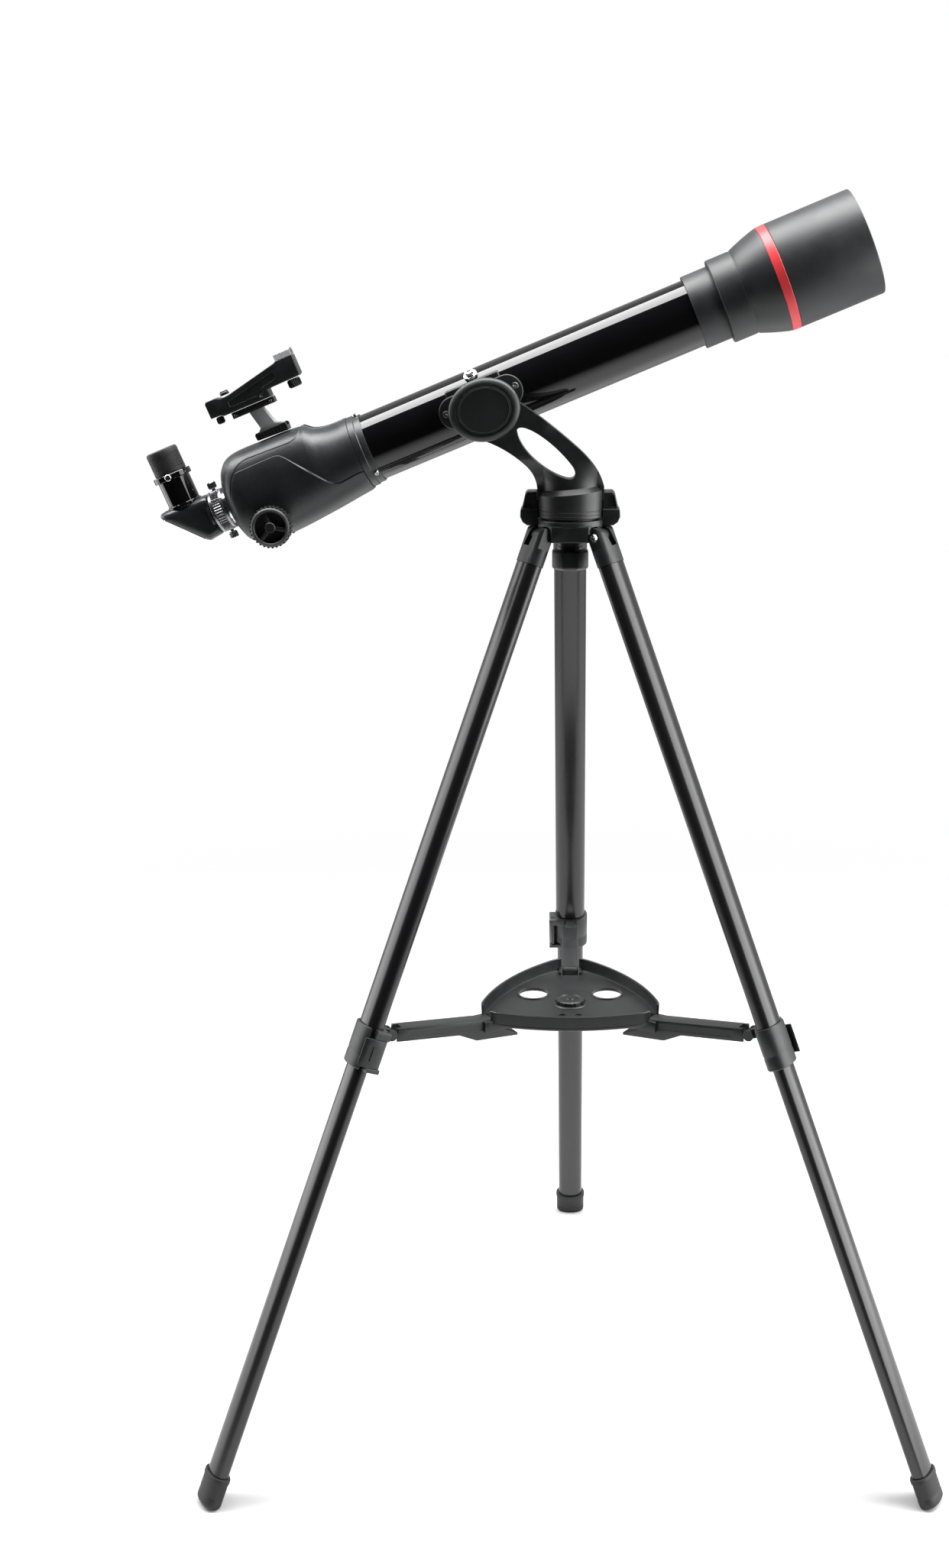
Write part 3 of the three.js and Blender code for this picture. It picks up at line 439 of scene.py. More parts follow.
head_line = []
for turn in LEG_TURNS:
    for side in (-1, 1):
        head_line.append((-36 * math.cos(turn) + side * 19.5 * math.sin(turn),
                          -36 * math.sin(turn) - side * 19.5 * math.cos(turn)))
head = round_edges(prism(head_line, 1014, 1031), 1.2, 2)
plate = turned([(35.5, 1029), (36.5, 1030), (36.5, 1034.7), (36, 1035.5)], 96)
rim = side_prism([(-45, 1029.5), (-50, 1033), (-52.5, 1038.5), (-52.3, 1045.5), (-51, 1047),
                  (51, 1047), (52.3, 1045.5), (52.5, 1038.5), (50, 1033), (45, 1029.5)], -14, 16)
round_edges(rim, 1.8, 3)
ears = side_prism([(-51.4, 1040), (-50.7, 1047), (-47.2, 1062), (-45, 1064.8), (45, 1064.8),
                   (47.2, 1062), (50.7, 1047), (51.4, 1040)], -12, 14)
round_edges(ears, 1.4, 3)
steps = [("join", plate), ("join", rim), ("join", ears),
         ("cut", rod("z", 37, 1035.5, 1080, count=96))]
for side in (-1, 1):
    for near, far in ((-20, -10.4), (12.4, 22)):
        panel = side_prism([(side * 48.9, 1049), (side * 46, 1061.5), (side * 39, 1061.5),
                            (side * 39, 1049)], near, far)
        steps.append(("cut", panel))
TONGUE_HALF, CAP_HALF = 5.0, 16.6
HINGE_RADIUS, HINGE_HEIGHT = 37.7, 1019.0
HINGE = (HINGE_RADIUS, 0, HINGE_HEIGHT)
for turn in LEG_TURNS:
    spin = Matrix.Rotation(turn, 4, "Z")
    pocket = block(26, 70, -CAP_HALF - 0.6, CAP_HALF + 0.6, 1000, 1029.8)
    steps.append(("cut", moved(pocket, spin)))
    steps.append(("cut", moved(rod("y", 5.2, -40, -CAP_HALF, HINGE, 32), spin)))
for turn in LEG_TURNS:
    spin = Matrix.Rotation(turn, 4, "Z")
    tongue = block(18, 36, -TONGUE_HALF, TONGUE_HALF, 1014.5, 1031)
    steps.append(("join", moved(tongue, spin)))
    eye = rod("y", 7.5, -TONGUE_HALF, TONGUE_HALF, HINGE, 40)
    steps.append(("join", moved(eye, spin)))
    steps.append(("cut", moved(rod("y", 3.3, -12, 12, HINGE, 24), spin)))
steps.append(("cut", rod("z", 5.6, 1000, 1070, count=32)))
set_piece("tripod_head_moulding", worked(head, *steps), Matrix.Identity(4), "stand_head", moulded,
          ["tripod_head"], bevel=0.35)

# ------------------------------------------------------------------------------------------
# Glide ring: a thin black nylon washer between the head's plate and the drum.

washer = turned([(8, 1035.8), (30, 1035.8), (30, 1037.3), (8, 1037.3)], 64, hollow=True)
set_piece("bearing_washer", washer, Matrix.Identity(4), "stand_head", moulded,
          ["azimuth_bearing"])

# ------------------------------------------------------------------------------------------
# Hinge bolts: plated steel, one through each leg's cap, with a cross-recess pan head on one
# side of the block. The heads are pressed from one pattern, so one tree makes them all.

chrome = finish("bright_chrome", (0.86, 0.87, 0.88), (0.78, 0.79, 0.80), 0.20, 0.06, 900.0, 0.00001,
                metallic=1.0)


def screw_tree():
    """Pan heads with a cross recess, one at each vertex, facing along the vertex's aim."""
    tree = bpy.data.node_groups.new("screw heads", "GeometryNodeTree")
    tree.interface.new_socket(name="Places", in_out="INPUT", socket_type="NodeSocketGeometry")
    for label in ("Head Radius", "Head Height"):
        tree.interface.new_socket(name=label, in_out="INPUT", socket_type="NodeSocketFloat")
    tree.interface.new_socket(name="Finish", in_out="INPUT", socket_type="NodeSocketMaterial")
    tree.interface.new_socket(name="Heads", in_out="OUTPUT", socket_type="NodeSocketGeometry")
    links = tree.links
    given = add_node(tree, "NodeGroupInput")
    out = add_node(tree, "NodeGroupOutput")

    def times(socket, factor):
        node = add_node(tree, "ShaderNodeMath", {1: factor}, operation="MULTIPLY")
        links.new(socket, node.inputs[0])
        return node.outputs[0]

    dome = add_node(tree, "GeometryNodeMeshCone", {"Vertices": 24, "Side Segments": 1})
    links.new(times(given.outputs["Head Radius"], 0.78), dome.inputs["Radius Top"])
    wire(tree, given, "Head Radius", dome, "Radius Bottom")
    wire(tree, given, "Head Height", dome, "Depth")
    cutters = []
    for along, across in ((1.1, 0.24), (0.24, 1.1)):
        size = add_node(tree, "ShaderNodeCombineXYZ")
        links.new(times(given.outputs["Head Radius"], along), size.inputs["X"])
        links.new(times(given.outputs["Head Radius"], across), size.inputs["Y"])
        wire(tree, given, "Head Height", size, "Z")
        bar = add_node(tree, "GeometryNodeMeshCube")
        wire(tree, size, "Vector", bar, "Size")
        lift = add_node(tree, "ShaderNodeCombineXYZ")
        wire(tree, given, "Head Height", lift, "Z")
        shift = add_node(tree, "GeometryNodeTransform")
        wire(tree, bar, "Mesh", shift, "Geometry")
        wire(tree, lift, "Vector", shift, "Translation")
        cutters.append(shift)
    recess = add_node(tree, "GeometryNodeMeshBoolean", operation="DIFFERENCE")
    wire(tree, dome, "Mesh", recess, "Mesh 1")
    for cutter in cutters:
        wire(tree, cutter, "Geometry", recess, "Mesh 2")
    aim = add_node(tree, "GeometryNodeInputNamedAttribute",
                   {"Name": "aim"}, data_type="FLOAT_VECTOR")
    face = add_node(tree, "FunctionNodeAlignRotationToVector", axis="Z")
    wire(tree, aim, 0, face, "Vector")
    put = add_node(tree, "GeometryNodeInstanceOnPoints")
    wire(tree, given, "Places", put, "Points")
    wire(tree, recess, "Mesh", put, "Instance")
    wire(tree, face, "Rotation", put, "Rotation")
    real = add_node(tree, "GeometryNodeRealizeInstances")
    wire(tree, put, "Instances", real, "Geometry")
    paint = add_node(tree, "GeometryNodeSetMaterial")
    wire(tree, real, "Geometry", paint, "Geometry")
    wire(tree, given, "Finish", paint, "Material")
    wire(tree, paint, "Geometry", out, "Heads")
    return tree


screw_heads = screw_tree()


def plain_mesh(holder, name):
    """The evaluated result of a Geometry Nodes modifier as a plain, welded mesh."""
    bpy.context.view_layer.update()
    made = bpy.data.meshes.new_from_object(
        holder.evaluated_get(bpy.context.evaluated_depsgraph_get()))
    base = holder.data
    bpy.data.objects.remove(holder)
    bpy.data.meshes.remove(base)
    made.name = name
    return made


def set_made(name, mesh, body, material, nodes=(), sharp=32.0):
    """Sets a plain mesh that is already in the object's frame, in metres."""
    bm = bmesh.new()
    bm.from_mesh(mesh)
    bmesh.ops.remove_doubles(bm, verts=bm.verts, dist=0.000002)
    bmesh.ops.recalc_face_normals(bm, faces=bm.faces)
    bm.to_mesh(mesh)
    bm.free()
    keep_own_place(mesh, MM)
    return hand_over(name, mesh, body, material, nodes, sharp)


def set_inputs(modifier, values):
    for item in modifier.node_group.interface.items_tree:
        if item.item_type == "SOCKET" and item.in_out == "INPUT" and item.name in values:
            modifier[item.identifier] = values[item.name]


def screws(name, place, spots, radius, height, body, material=None):
    """Screw heads at (position, aim) spots given in a piece's own millimetres."""
    into_row = Matrix.Scale(MM, 4) @ STAND @ place
    mesh = bpy.data.meshes.new(name)
    mesh.from_pydata([into_row @ Vector(at) for at, _ in spots], [], [])
    aim = mesh.attributes.new("aim", "FLOAT_VECTOR", "POINT")
    for i, (_, towards) in enumerate(spots):
        aim.data[i].vector = (place.to_3x3() @ Vector(towards)).normalized()
    holder = bpy.data.objects.new(name, mesh)
    scene.collection.objects.link(holder)
    modifier = holder.modifiers.new("heads", "NODES")
    modifier.node_group = screw_heads
    set_inputs(modifier, {"Head Radius": radius * MM, "Head Height": height * MM,
                          "Finish": material or chrome})
    return set_made(name, plain_mesh(holder, name), body, material or chrome)


for number, turn in enumerate(LEG_TURNS, 1):
    spin = Matrix.Rotation(turn, 4, "Z")
    shank = turned([(2.6, -17.4), (3, -17), (3, 15.2), (2.6, 15.6)], 32)
    moved(shank, Matrix.Translation(HINGE) @ Matrix.Rotation(-math.pi / 2, 4, "X"))
    set_piece(f"leg_bolt_shank_{number}", shank, spin, "stand_head", chrome,
              [f"leg_bolt_{number}"])
BOLT_SEAT = -16.9
bolt_spots = []
for turn in LEG_TURNS:
    spin = Matrix.Rotation(turn, 3, "Z")
    seat = spin @ Vector((HINGE_RADIUS, BOLT_SEAT, HINGE_HEIGHT))
    bolt_spots.append((seat, spin @ Vector((0, -1, 0))))
screws("leg_bolt_heads", Matrix.Identity(4), bolt_spots, 4.6, 2.4, "stand_head")

# ------------------------------------------------------------------------------------------
# Head nut: an eight-sided moulded hand nut on the bolt that holds the drum down.

nut_flats = 8
nut = turned([(17.4, 982), (20.2, 984.2), (20.8, 985.4), (20.8, 1000.6), (19.8, 1002.2),
              (17.4, 1003)], nut_flats, start=math.pi / nut_flats)
round_edges(nut, 1.1, 3, 20.0)
collar = turned([(14, 1001), (14, 1006.4), (13.2, 1007), (13.2, 1008.6), (14, 1009.2),
                 (14, 1013), (13.4, 1013.6)], 48)
boss = turned([(9.5, 980.5), (10.4, 981.4), (10.4, 984)], 32)
bolt = turned([(5, 990), (5, 1053), (4.2, 1054)], 32)
nut = worked(nut, ("join", collar), ("join", boss), ("join", bolt))
set_piece("head_hand_nut", nut, Matrix.Identity(4), "head_nut", moulded,
          ["head_knob"], bevel=0.3)

# ------------------------------------------------------------------------------------------
# Legs: a moulded cap on the hinge bolt, plugged into a flat-sided oval tube of black
# anodised aluminium, and a narrower tube that slides inside it, shod with a rubber boot.

LEG_TILT = math.radians(22.15)
UPPER_DEPTH, UPPER_WIDTH = 22.0, 35.2
LOWER_DEPTH, LOWER_WIDTH = 18.8, 32.0
TUBE_WALL = 1.2
LUG_IN, LUG_UP = -23.5, -552.5
LEVER_PIN = (-9, 22, 0)


def leg_place(turn):
    return (Matrix.Rotation(turn, 4, "Z") @ Matrix.Translation(HINGE)
            @ Matrix.Rotation(-LEG_TILT, 4, "Y"))


OVAL_POWER = 0.84


def oval(depth, width, height, count=48):
    """A flattened oval ring: depth along x, width along y."""
    points = []
    for i in range(count):
        angle = 2 * math.pi * i / count
        c, s = math.cos(angle), math.sin(angle)
        points.append((depth / 2 * math.copysign(abs(c) ** OVAL_POWER, c),
                       width / 2 * math.copysign(abs(s) ** OVAL_POWER, s), height))
    return points


def oval_tube(depth, width, wall, low, high):
    inner_depth, inner_width = depth - 2 * wall, width - 2 * wall
    return loft([oval(depth - 0.5, width - 0.5, low), oval(depth, width, low + 0.25),
                 oval(depth, width, high - 0.25), oval(depth - 0.5, width - 0.5, high),
                 oval(inner_depth, inner_width, high), oval(inner_depth, inner_width, low)],
                hollow=True)


anodised = finish("black_anodised_tube", (0.006, 0.006, 0.007), (0.010, 0.010, 0.011), 0.24, 0.04,
                  2600.0, 0.000008, specular=0.6, stretch=(1.0, 1.0, 0.02))
clamp_plastic = finish("moulded_grey_clamp", (0.009, 0.010, 0.0105), (0.014, 0.015, 0.016), 0.40,
                       0.05, 1300.0, 0.00008, rub=0.6, dust=0.05)
rubber = finish("boot_rubber", (0.006, 0.006, 0.0065), (0.010, 0.010, 0.0105), 0.62, 0.08, 900.0,
                0.00010, dust=0.06)

for number, turn in enumerate(LEG_TURNS, 1):
    place = leg_place(turn)
    body = f"leg_{number}"

    side_line = [(-15, -45), (15, -45), (15, -14), (UPPER_DEPTH / 2 + 0.7, -12)]
    side_line += [(9.8 * math.cos(math.pi * i / 24), 9.8 * math.sin(math.pi * i / 24))
                  for i in range(25)]
    side_line += [(-UPPER_DEPTH / 2 - 0.7, -12), (-15, -14)]
    shell = loft([oval(UPPER_DEPTH + 1.4, UPPER_WIDTH + 1.4, -30.7),
                  oval(UPPER_DEPTH + 1.4, UPPER_WIDTH + 1.4, 12)])
    plug = loft([oval(UPPER_DEPTH - 3.2, UPPER_WIDTH - 3.2, -28),
                 oval(UPPER_DEPTH - 3.2, UPPER_WIDTH - 3.2, -52)])
    cap = worked(shell, ("keep", side_prism(side_line, -30, 30)),
                 ("cut", block(-20, 20, CAP_HALF, 25, -13, 20)),
                 ("cut", block(-20, 20, -25, -CAP_HALF, -13, 20)),
                 ("cut", block(-20, 20, -TONGUE_HALF - 0.3, TONGUE_HALF + 0.3, -13, 20)),
                 ("join", plug), ("cut", rod("y", 3.4, -20, 15.9, count=32)))
    set_piece(f"leg_cap_moulding_{number}", cap, place, body, clamp_plastic,
              [f"leg_cap_{number}"], bevel=0.5)

    tube = oval_tube(UPPER_DEPTH, UPPER_WIDTH, TUBE_WALL, -588, -31)
    set_piece(f"upper_leg_{number}", tube, place, body, anodised,
              [f"upper_tube_{number}"])

    sleeve = loft([oval(26.2, 40.6, -593), oval(27.6, 42, -592), oval(27.6, 42, -580),
                   oval(27.0, 41.4, -579.2), oval(27.0, 41.4, -576.6), oval(27.6, 42, -575.8),
                   oval(27.6, 42, -548.4), oval(26.4, 40.8, -547)])
    lug = block(LUG_IN, -8, -5, 5, LUG_UP - 5, LUG_UP + 5)
    lug_eye = rod("y", 5, -5, 5, (LUG_IN, 0, LUG_UP), 32)
    knuckle_top = round_edges(block(-13, 4, 12, 26, -556, -547), 0.9, 2)
    knuckle_low = round_edges(block(-13, 4, 12, 26, -593, -588), 0.9, 2)
    split = block(3, 8, 14, 40, -600, -540)
    wide_bore = loft([oval(UPPER_DEPTH + 0.6, UPPER_WIDTH + 0.6, -588.3),
                      oval(UPPER_DEPTH + 0.6, UPPER_WIDTH + 0.6, -500)])
    tight_bore = loft([oval(LOWER_DEPTH + 0.6, LOWER_WIDTH + 0.6, -700),
                       oval(LOWER_DEPTH + 0.6, LOWER_WIDTH + 0.6, -500)])
    clamp = worked(sleeve, ("join", lug), ("join", lug_eye), ("join", knuckle_top),
                   ("join", knuckle_low), ("cut", split), ("cut", wide_bore), ("cut", tight_bore),
                   ("cut", rod("y", 2.4, -9, 9, (LUG_IN, 0, LUG_UP), 24)),
                   ("cut", rod("z", 2, -594, -546, LEVER_PIN, 20)))
    set_piece(f"leg_clamp_sleeve_{number}", clamp, place, body, clamp_plastic,
              [f"leg_clamp_{number}"], bevel=0.4)

    flap = [(-9, 18.9), (-5.5, 21.4), (9, 21.6), (12.6, 20.6), (14.0, 21.6), (13.4, 23), (10, 24.6),
            (3, 26.0), (-4, 26.2), (-9, 25.4), (-12.2, 23.2), (-12.2, 20.4)]
    lever = round_edges(prism(flap, -587.7, -556.3), 0.7, 2)
    finger = block(3, 20, 24.9, 40, -580, -564)
    pin = rod("z", 1.7, -592.5, -547.5, LEVER_PIN, 20)
    lever = worked(lever, ("cut", finger), ("join", pin))
    set_piece(f"clamp_lever_arm_{number}", lever, place, f"lever_{number}", moulded,
              [f"clamp_lever_{number}"], bevel=0.3)

    tube = oval_tube(LOWER_DEPTH, LOWER_WIDTH, TUBE_WALL, -1088, -505)
    set_piece(f"lower_leg_tube_{number}", tube, place, f"lower_leg_{number}", anodised,
              [f"lower_tube_{number}"])

    boot = loft([oval(19.6, 34.3, -1098), oval(22.2, 37.1, -1096), oval(22.8, 37.8, -1094),
                 oval(22.8, 37.8, -1088), oval(22.3, 37.3, -1087.4), oval(22.3, 37.3, -1086),
                 oval(22.8, 37.8, -1085.4), oval(22.8, 37.8, -1070.4), oval(24.2, 39.4, -1069),
                 oval(24.2, 39.4, -1065.4), oval(23.2, 38.4, -1064)])
    socket = loft([oval(LOWER_DEPTH + 0.6, LOWER_WIDTH + 0.6, -1088.3),
                   oval(LOWER_DEPTH + 0.6, LOWER_WIDTH + 0.6, -1050)])
    ground = moved(block(300, 600, -60, 60, -40, 0.0),
                   (Matrix.Translation(HINGE)
                    @ Matrix.Rotation(-LEG_TILT, 4, "Y")).inverted())
    boot = worked(boot, ("cut", socket), ("cut", ground))
    set_piece(f"foot_boot_{number}", boot, place, f"lower_leg_{number}", rubber,
              [f"foot_{number}"], bevel=0.3)

# ------------------------------------------------------------------------------------------
# Brace links: moulded channels that hinge on the clamps and end in a wedge under the tray.

C_RADIUS, C_HEIGHT = 224.245, 498.414
TRAY_PIVOT_RADIUS, TRAY_PIVOT_HEIGHT = 108.0, 486.0
link_dx = C_RADIUS - TRAY_PIVOT_RADIUS
link_dz = C_HEIGHT - TRAY_PIVOT_HEIGHT
link_reach = -math.hypot(link_dx, link_dz)
link_lean = Matrix.Rotation(-math.atan2(link_dz, link_dx), 4, "Y")

for number, turn in enumerate(LEG_TURNS, 1):
    half = 7.5
    wide = 9.5
    outline = [(-6, half), (link_reach - 4, half), (link_reach - 7, half - 3),
               (link_reach - 7, -1), (link_reach - 37, -half - 3), (link_reach - 37, -half - 6),
               (link_reach + 14, -half - 8), (link_reach + 36, -half), (-6, -half)]
    channel = round_edges(side_prism(outline, -wide, wide), 0.8, 2)
    hollow = block(link_reach - 1, -4, -wide + 2.2, wide - 2.2, -half - 12, half - 2.2)
    steps = [("join", rod("y", 6, -wide, wide, count=40)), ("cut", hollow)]
    for i in range(4):
        x = -26 - 20 * i
        steps.append(("join", block(x - 0.8, x + 0.8, -wide + 1, wide - 1, -half + 1.5, half - 1)))
    steps.append(("cut", block(-12, 8, -wide + 3.9, wide - 3.9, -20, 20)))
    steps.append(("join", rod("y", 2.1, -wide + 1, wide - 1, count=24)))
    for near, far in ((-wide - 1, -wide + 0.5), (wide - 0.5, wide + 1)):
        steps.append(("cut", block(link_reach + 8, -20, near, far, -3.6, 3.4)))
    link = worked(channel, *steps)
    place = (Matrix.Rotation(turn, 4, "Z") @ Matrix.Translation((C_RADIUS, 0, C_HEIGHT))
             @ link_lean)
    set_piece(f"brace_link_channel_{number}", link, place, f"link_{number}", clamp_plastic,
              [f"brace_link_{number}"], bevel=0.3)

# ------------------------------------------------------------------------------------------
# Accessory tray: a rounded three-sided dish, moulded in one, with two holes for eyepiece
# barrels, a raised boss for the centre knob and a hinge block at each corner.

TRAY_FLOOR, TRAY_RIM, TRAY_WALL = 487.0, 504.0, 2.4


def tray_ring(inset, height, count=26):
    """The tray's outline: three wide side arcs between three tight corner arcs."""
    reach, corner_radius, side_reach = 77.0, 32.0, 81.0
    third = 2 * math.pi / 3
    gap = side_reach - corner_radius
    centre = (reach ** 2 - gap ** 2) / (2 * gap - reach)
    side_radius = side_reach + centre
    spread = math.atan2(reach * math.sin(math.pi / 3), centre + reach / 2)
    points = []
    for i in range(3):
        corner = math.pi / 2 + i * third
        half_turn = math.pi / 3 - spread
        x, y = reach * math.cos(corner), reach * math.sin(corner)
        for k in range(count // 2):
            angle = corner - half_turn + 2 * half_turn * k / (count // 2)
            points.append((x + (corner_radius - inset) * math.cos(angle),
                           y + (corner_radius - inset) * math.sin(angle), height))
        side = corner + math.pi / 3
        x, y = -centre * math.cos(side), -centre * math.sin(side)
        for k in range(count):
            angle = side - spread + 2 * spread * k / count
            points.append((x + (side_radius - inset) * math.cos(angle),
                           y + (side_radius - inset) * math.sin(angle), height))
    return points


dish = loft([tray_ring(2.2, TRAY_FLOOR), tray_ring(0.8, TRAY_FLOOR + 0.8),
             tray_ring(0.5, TRAY_FLOOR + 3), tray_ring(0.9, TRAY_FLOOR + 3.5),
             tray_ring(0.9, TRAY_FLOOR + 4.3), tray_ring(0.4, TRAY_FLOOR + 4.8),
             tray_ring(0.0, TRAY_RIM - 2.6), tray_ring(0.0, TRAY_RIM - 0.5),
             tray_ring(0.5, TRAY_RIM), tray_ring(1.9, TRAY_RIM), tray_ring(2.4, TRAY_RIM - 0.5),
             tray_ring(2.6, TRAY_FLOOR + 5.2), tray_ring(3.4, TRAY_FLOOR + 3.2),
             tray_ring(5.2, TRAY_FLOOR + TRAY_WALL)])
steps = []
for turn in LEG_TURNS:
    spin = Matrix.Rotation(turn, 4, "Z")
    cheeks = round_edges(block(88, 115, -13.4, 13.4, 480.5, 493), 1.0, 2)
    steps.append(("join", moved(cheeks, spin)))
for side in (-1, 1):
    steps.append(("join", turned([(18.6, 488), (18.6, 490.2), (18.1, 490.8), (16, 490.8)], 64)))
    moved(steps[-1][1], Matrix.Translation((side * 42, 27, 0)))
steps.append(("join", turned([(20.5, 488), (20.5, 489.8), (19.6, 490.6)], 64)))
steps.append(("cut", rod("z", 17.4, 489.7, 500, count=64)))
for turn in LEG_TURNS:
    spin = Matrix.Rotation(turn, 4, "Z")
    steps.append(("cut", moved(block(86, 130, -10.4, 10.4, 470, 520), spin)))
for side in (-1, 1):
    steps.append(("cut", rod("z", 16.5, 470, 520, (side * 42, 27, 0), 64)))
    steps.append(("cut", rod("z", 4.2, 488.0, 520, (side * 9, -38, 0), 24)))
steps.append(("cut", rod("z", 4.4, 470, 520, count=32)))
tray_plastic = finish("moulded_tray_plastic", (0.006, 0.0065, 0.007), (0.010, 0.011, 0.012), 0.36,
                      0.06, 1300.0, 0.00007, rub=0.6, dust=0.05)
set_piece("accessory_tray_dish", worked(dish, *steps), Matrix.Identity(4), "tray", tray_plastic,
          ["tray"], bevel=0.25)

# ------------------------------------------------------------------------------------------
# Tray knob: a low moulded knob that pulls the tray down on the links, with its nut below.

knob = turned([(3.9, 489.9), (15.6, 489.9), (16, 490.6), (15.4, 493.6), (13.4, 495), (11.4, 495.2),
               (10.6, 494.2), (4.4, 494.0), (3.6, 495.0), (1.5, 495.2)], 64)
steps = []
for i in range(10):
    angle = 2 * math.pi * i / 10
    at = (16.9 * math.cos(angle), 16.9 * math.sin(angle), 0)
    steps.append(("cut", rod("z", 2.0, 480, 500, at, 20)))
steps.append(("join", rod("z", 4, 479, 491, count=24)))
steps.append(("join", turned([(8.4, 479), (9, 479.6), (9, 486), (8.4, 486.6)], 6)))
set_piece("tray_hand_knob", worked(knob, *steps), Matrix.Identity(4), "tray_nut", moulded,
          ["tray_knob"], bevel=0.3)

# ------------------------------------------------------------------------------------------
# Arm: drum, arm and hub are one moulding that turns on the head. The arm leans back from the
# drum to the oval hub and is pierced by a leaf-shaped hole.

HUB_X, HUB_Z = -87.6, 1151.0


def hub_ring(scale, y, count=96):
    """The hub's oval at a depth y, its long axis turned up at the rear."""
    tilt = math.radians(15.0)
    points = []
    for i in range(count):
        angle = 2 * math.pi * i / count
        a, b = 37.0 * scale * math.cos(angle), 31.8 * scale * math.sin(angle)
        points.append((HUB_X + a * math.cos(tilt) - b * math.sin(tilt), y,
                       HUB_Z + a * math.sin(tilt) + b * math.cos(tilt)))
    return points


def bezier(start, first, second, end, count=12):
    """Points along a cubic curve, without its start."""
    points = []
    for i in range(1, count + 1):
        t = i / count
        u = 1 - t
        points.append(tuple(u ** 3 * p + 3 * u * u * t * q + 3 * u * t * t * r + t ** 3 * s
                            for p, q, r, s in zip(start, first, second, end)))
    return points


arm_line = [(-34.8, 1056), (34.8, 1056), (35.6, 1070)]
arm_line += bezier((35.6, 1070), (32, 1085), (24, 1097), (10, 1110))
arm_line += bezier((10, 1110), (-8, 1126), (-28, 1142), (-52, 1158))
arm_line += [(-92, 1150), (-92, 1120)]
arm_line += bezier((-92, 1120), (-72, 1114), (-54, 1102), (-44, 1091))
arm_line += bezier((-44, 1091), (-38, 1084), (-35, 1076), (-34.5, 1068), 8)
leaf_line = bezier((-55, 1130), (-50, 1140), (-16, 1118), (3, 1092), 20)
leaf_line += bezier((3, 1092), (8, 1083), (4, 1078), (-4, 1080), 12)
leaf_line += bezier((-4, 1080), (-24, 1085), (-54, 1110), (-55, 1130), 20)
FOOT_RADIUS, FACE_Y = 30.6, -31.0
arm_columns = [-110, -95, -80, -65, -50, -40, -33] + [-28 + 1.4 * i for i in range(41)] + [33, 40]
arm_faces = []
for row in range(28):
    z = 1050 + 4.5 * row
    flat = min(max((z - 1070) / 34.0, 0.0), 1.0)
    flat = flat * flat * (3 - 2 * flat)
    front, back = [], []
    for x in arm_columns:
        foot = -math.sqrt(max(FOOT_RADIUS ** 2 - x * x, 12.6 ** 2))
        front.append((x, foot + (FACE_Y - foot) * flat, z))
        back.append((x, -8 - 8 * flat, z))
    arm_faces.append(front + back[::-1])
arm_form = loft(arm_faces)
arm = worked(side_prism(arm_line, -60, 0), ("keep", arm_form),
             ("cut", side_prism(leaf_line, -60, 0)))
round_edges(arm, 2.0, 1, 50.0)
drum = turned([(34.6, 1037.6), (35.5, 1038.5), (35.5, 1040.9), (35.0, 1041.3), (35.0, 1041.9),
               (35.5, 1042.3), (35.5, 1044.9), (35.0, 1045.3), (35.0, 1045.9), (35.5, 1046.3),
               (35.5, 1076)], 128)
drum_top = turned([(70, -34.5), (35.5, 0), (30.8, 5.2), (30.4, 5.2)], 128)
moved(drum_top, Matrix.Translation((0, 0, 1063.4)) @ Matrix.Rotation(math.radians(-5.0), 4, "Y"))
drum = worked(drum, ("keep", drum_top))
hub = loft([hub_ring(0.88, -16), hub_ring(0.88, -33.2), hub_ring(0.985, -33.2),
            hub_ring(1.0, -34), hub_ring(1.0, -42.4), hub_ring(0.985, -44.0),
            hub_ring(0.95, -45.2), hub_ring(0.86, -46.9), hub_ring(0.835, -47), hub_ring(0.80, -47),
            hub_ring(0.782, -46.4), hub_ring(0.78, -43)])
arm = worked(arm, ("join", drum), ("join", hub),
             ("cut", rod("y", 7.3, -60, 0, (HUB_X, 0, HUB_Z), 48)),
             ("cut", rod("z", 5.4, 1030, 1056, count=32)))
arm_plastic = finish("moulded_arm_plastic", (0.008, 0.0085, 0.009), (0.012, 0.013, 0.014), 0.40,
                     0.05, 1500.0, 0.00009, rub=0.55, dust=0.04)
set_piece("mount_arm_moulding", arm, Matrix.Identity(4), "mount", arm_plastic,
          ["mount_arm"], sharp=28.0, bevel=0.25)

# Hub cap: a push-in oval cover with a raised hairline round its face.
cap = loft([hub_ring(0.765, -43.3), hub_ring(0.765, -46.9), hub_ring(0.755, -47.5),
            hub_ring(0.715, -47.5), hub_ring(0.71, -47.9), hub_ring(0.695, -47.9),
            hub_ring(0.69, -47.4), hub_ring(0.5, -47.1), hub_ring(0.1, -47.0)])
set_piece("hub_cap_cover", cap, Matrix.Identity(4), "mount", arm_plastic,
          ["hub_cap"], sharp=50.0)

# ------------------------------------------------------------------------------------------
# Cradle: a two-eared plate that turns on the hub's steel axle, with a saddle under the tube.
# Everything from here on is placed in the tube's own frame: x along it, z up across it.

TUBE_TILT = math.radians(22.26)
TUBE_OFFSET = 5.5
TUBE_Y = 32.0
TUBE_RADIUS = 35.5
TUBE = (Matrix.Translation((HUB_X - TUBE_OFFSET * math.sin(TUBE_TILT), TUBE_Y,
                            HUB_Z + TUBE_OFFSET * math.cos(TUBE_TILT)))
        @ Matrix.Rotation(-TUBE_TILT, 4, "Y"))
LIE_X = Matrix.Rotation(math.pi / 2, 4, "Y")


def along_tube(profile, count=96, hollow=False):
    """Turned about the tube's axis, from (radius, distance along) pairs."""
    return moved(turned(profile, count, hollow), LIE_X)


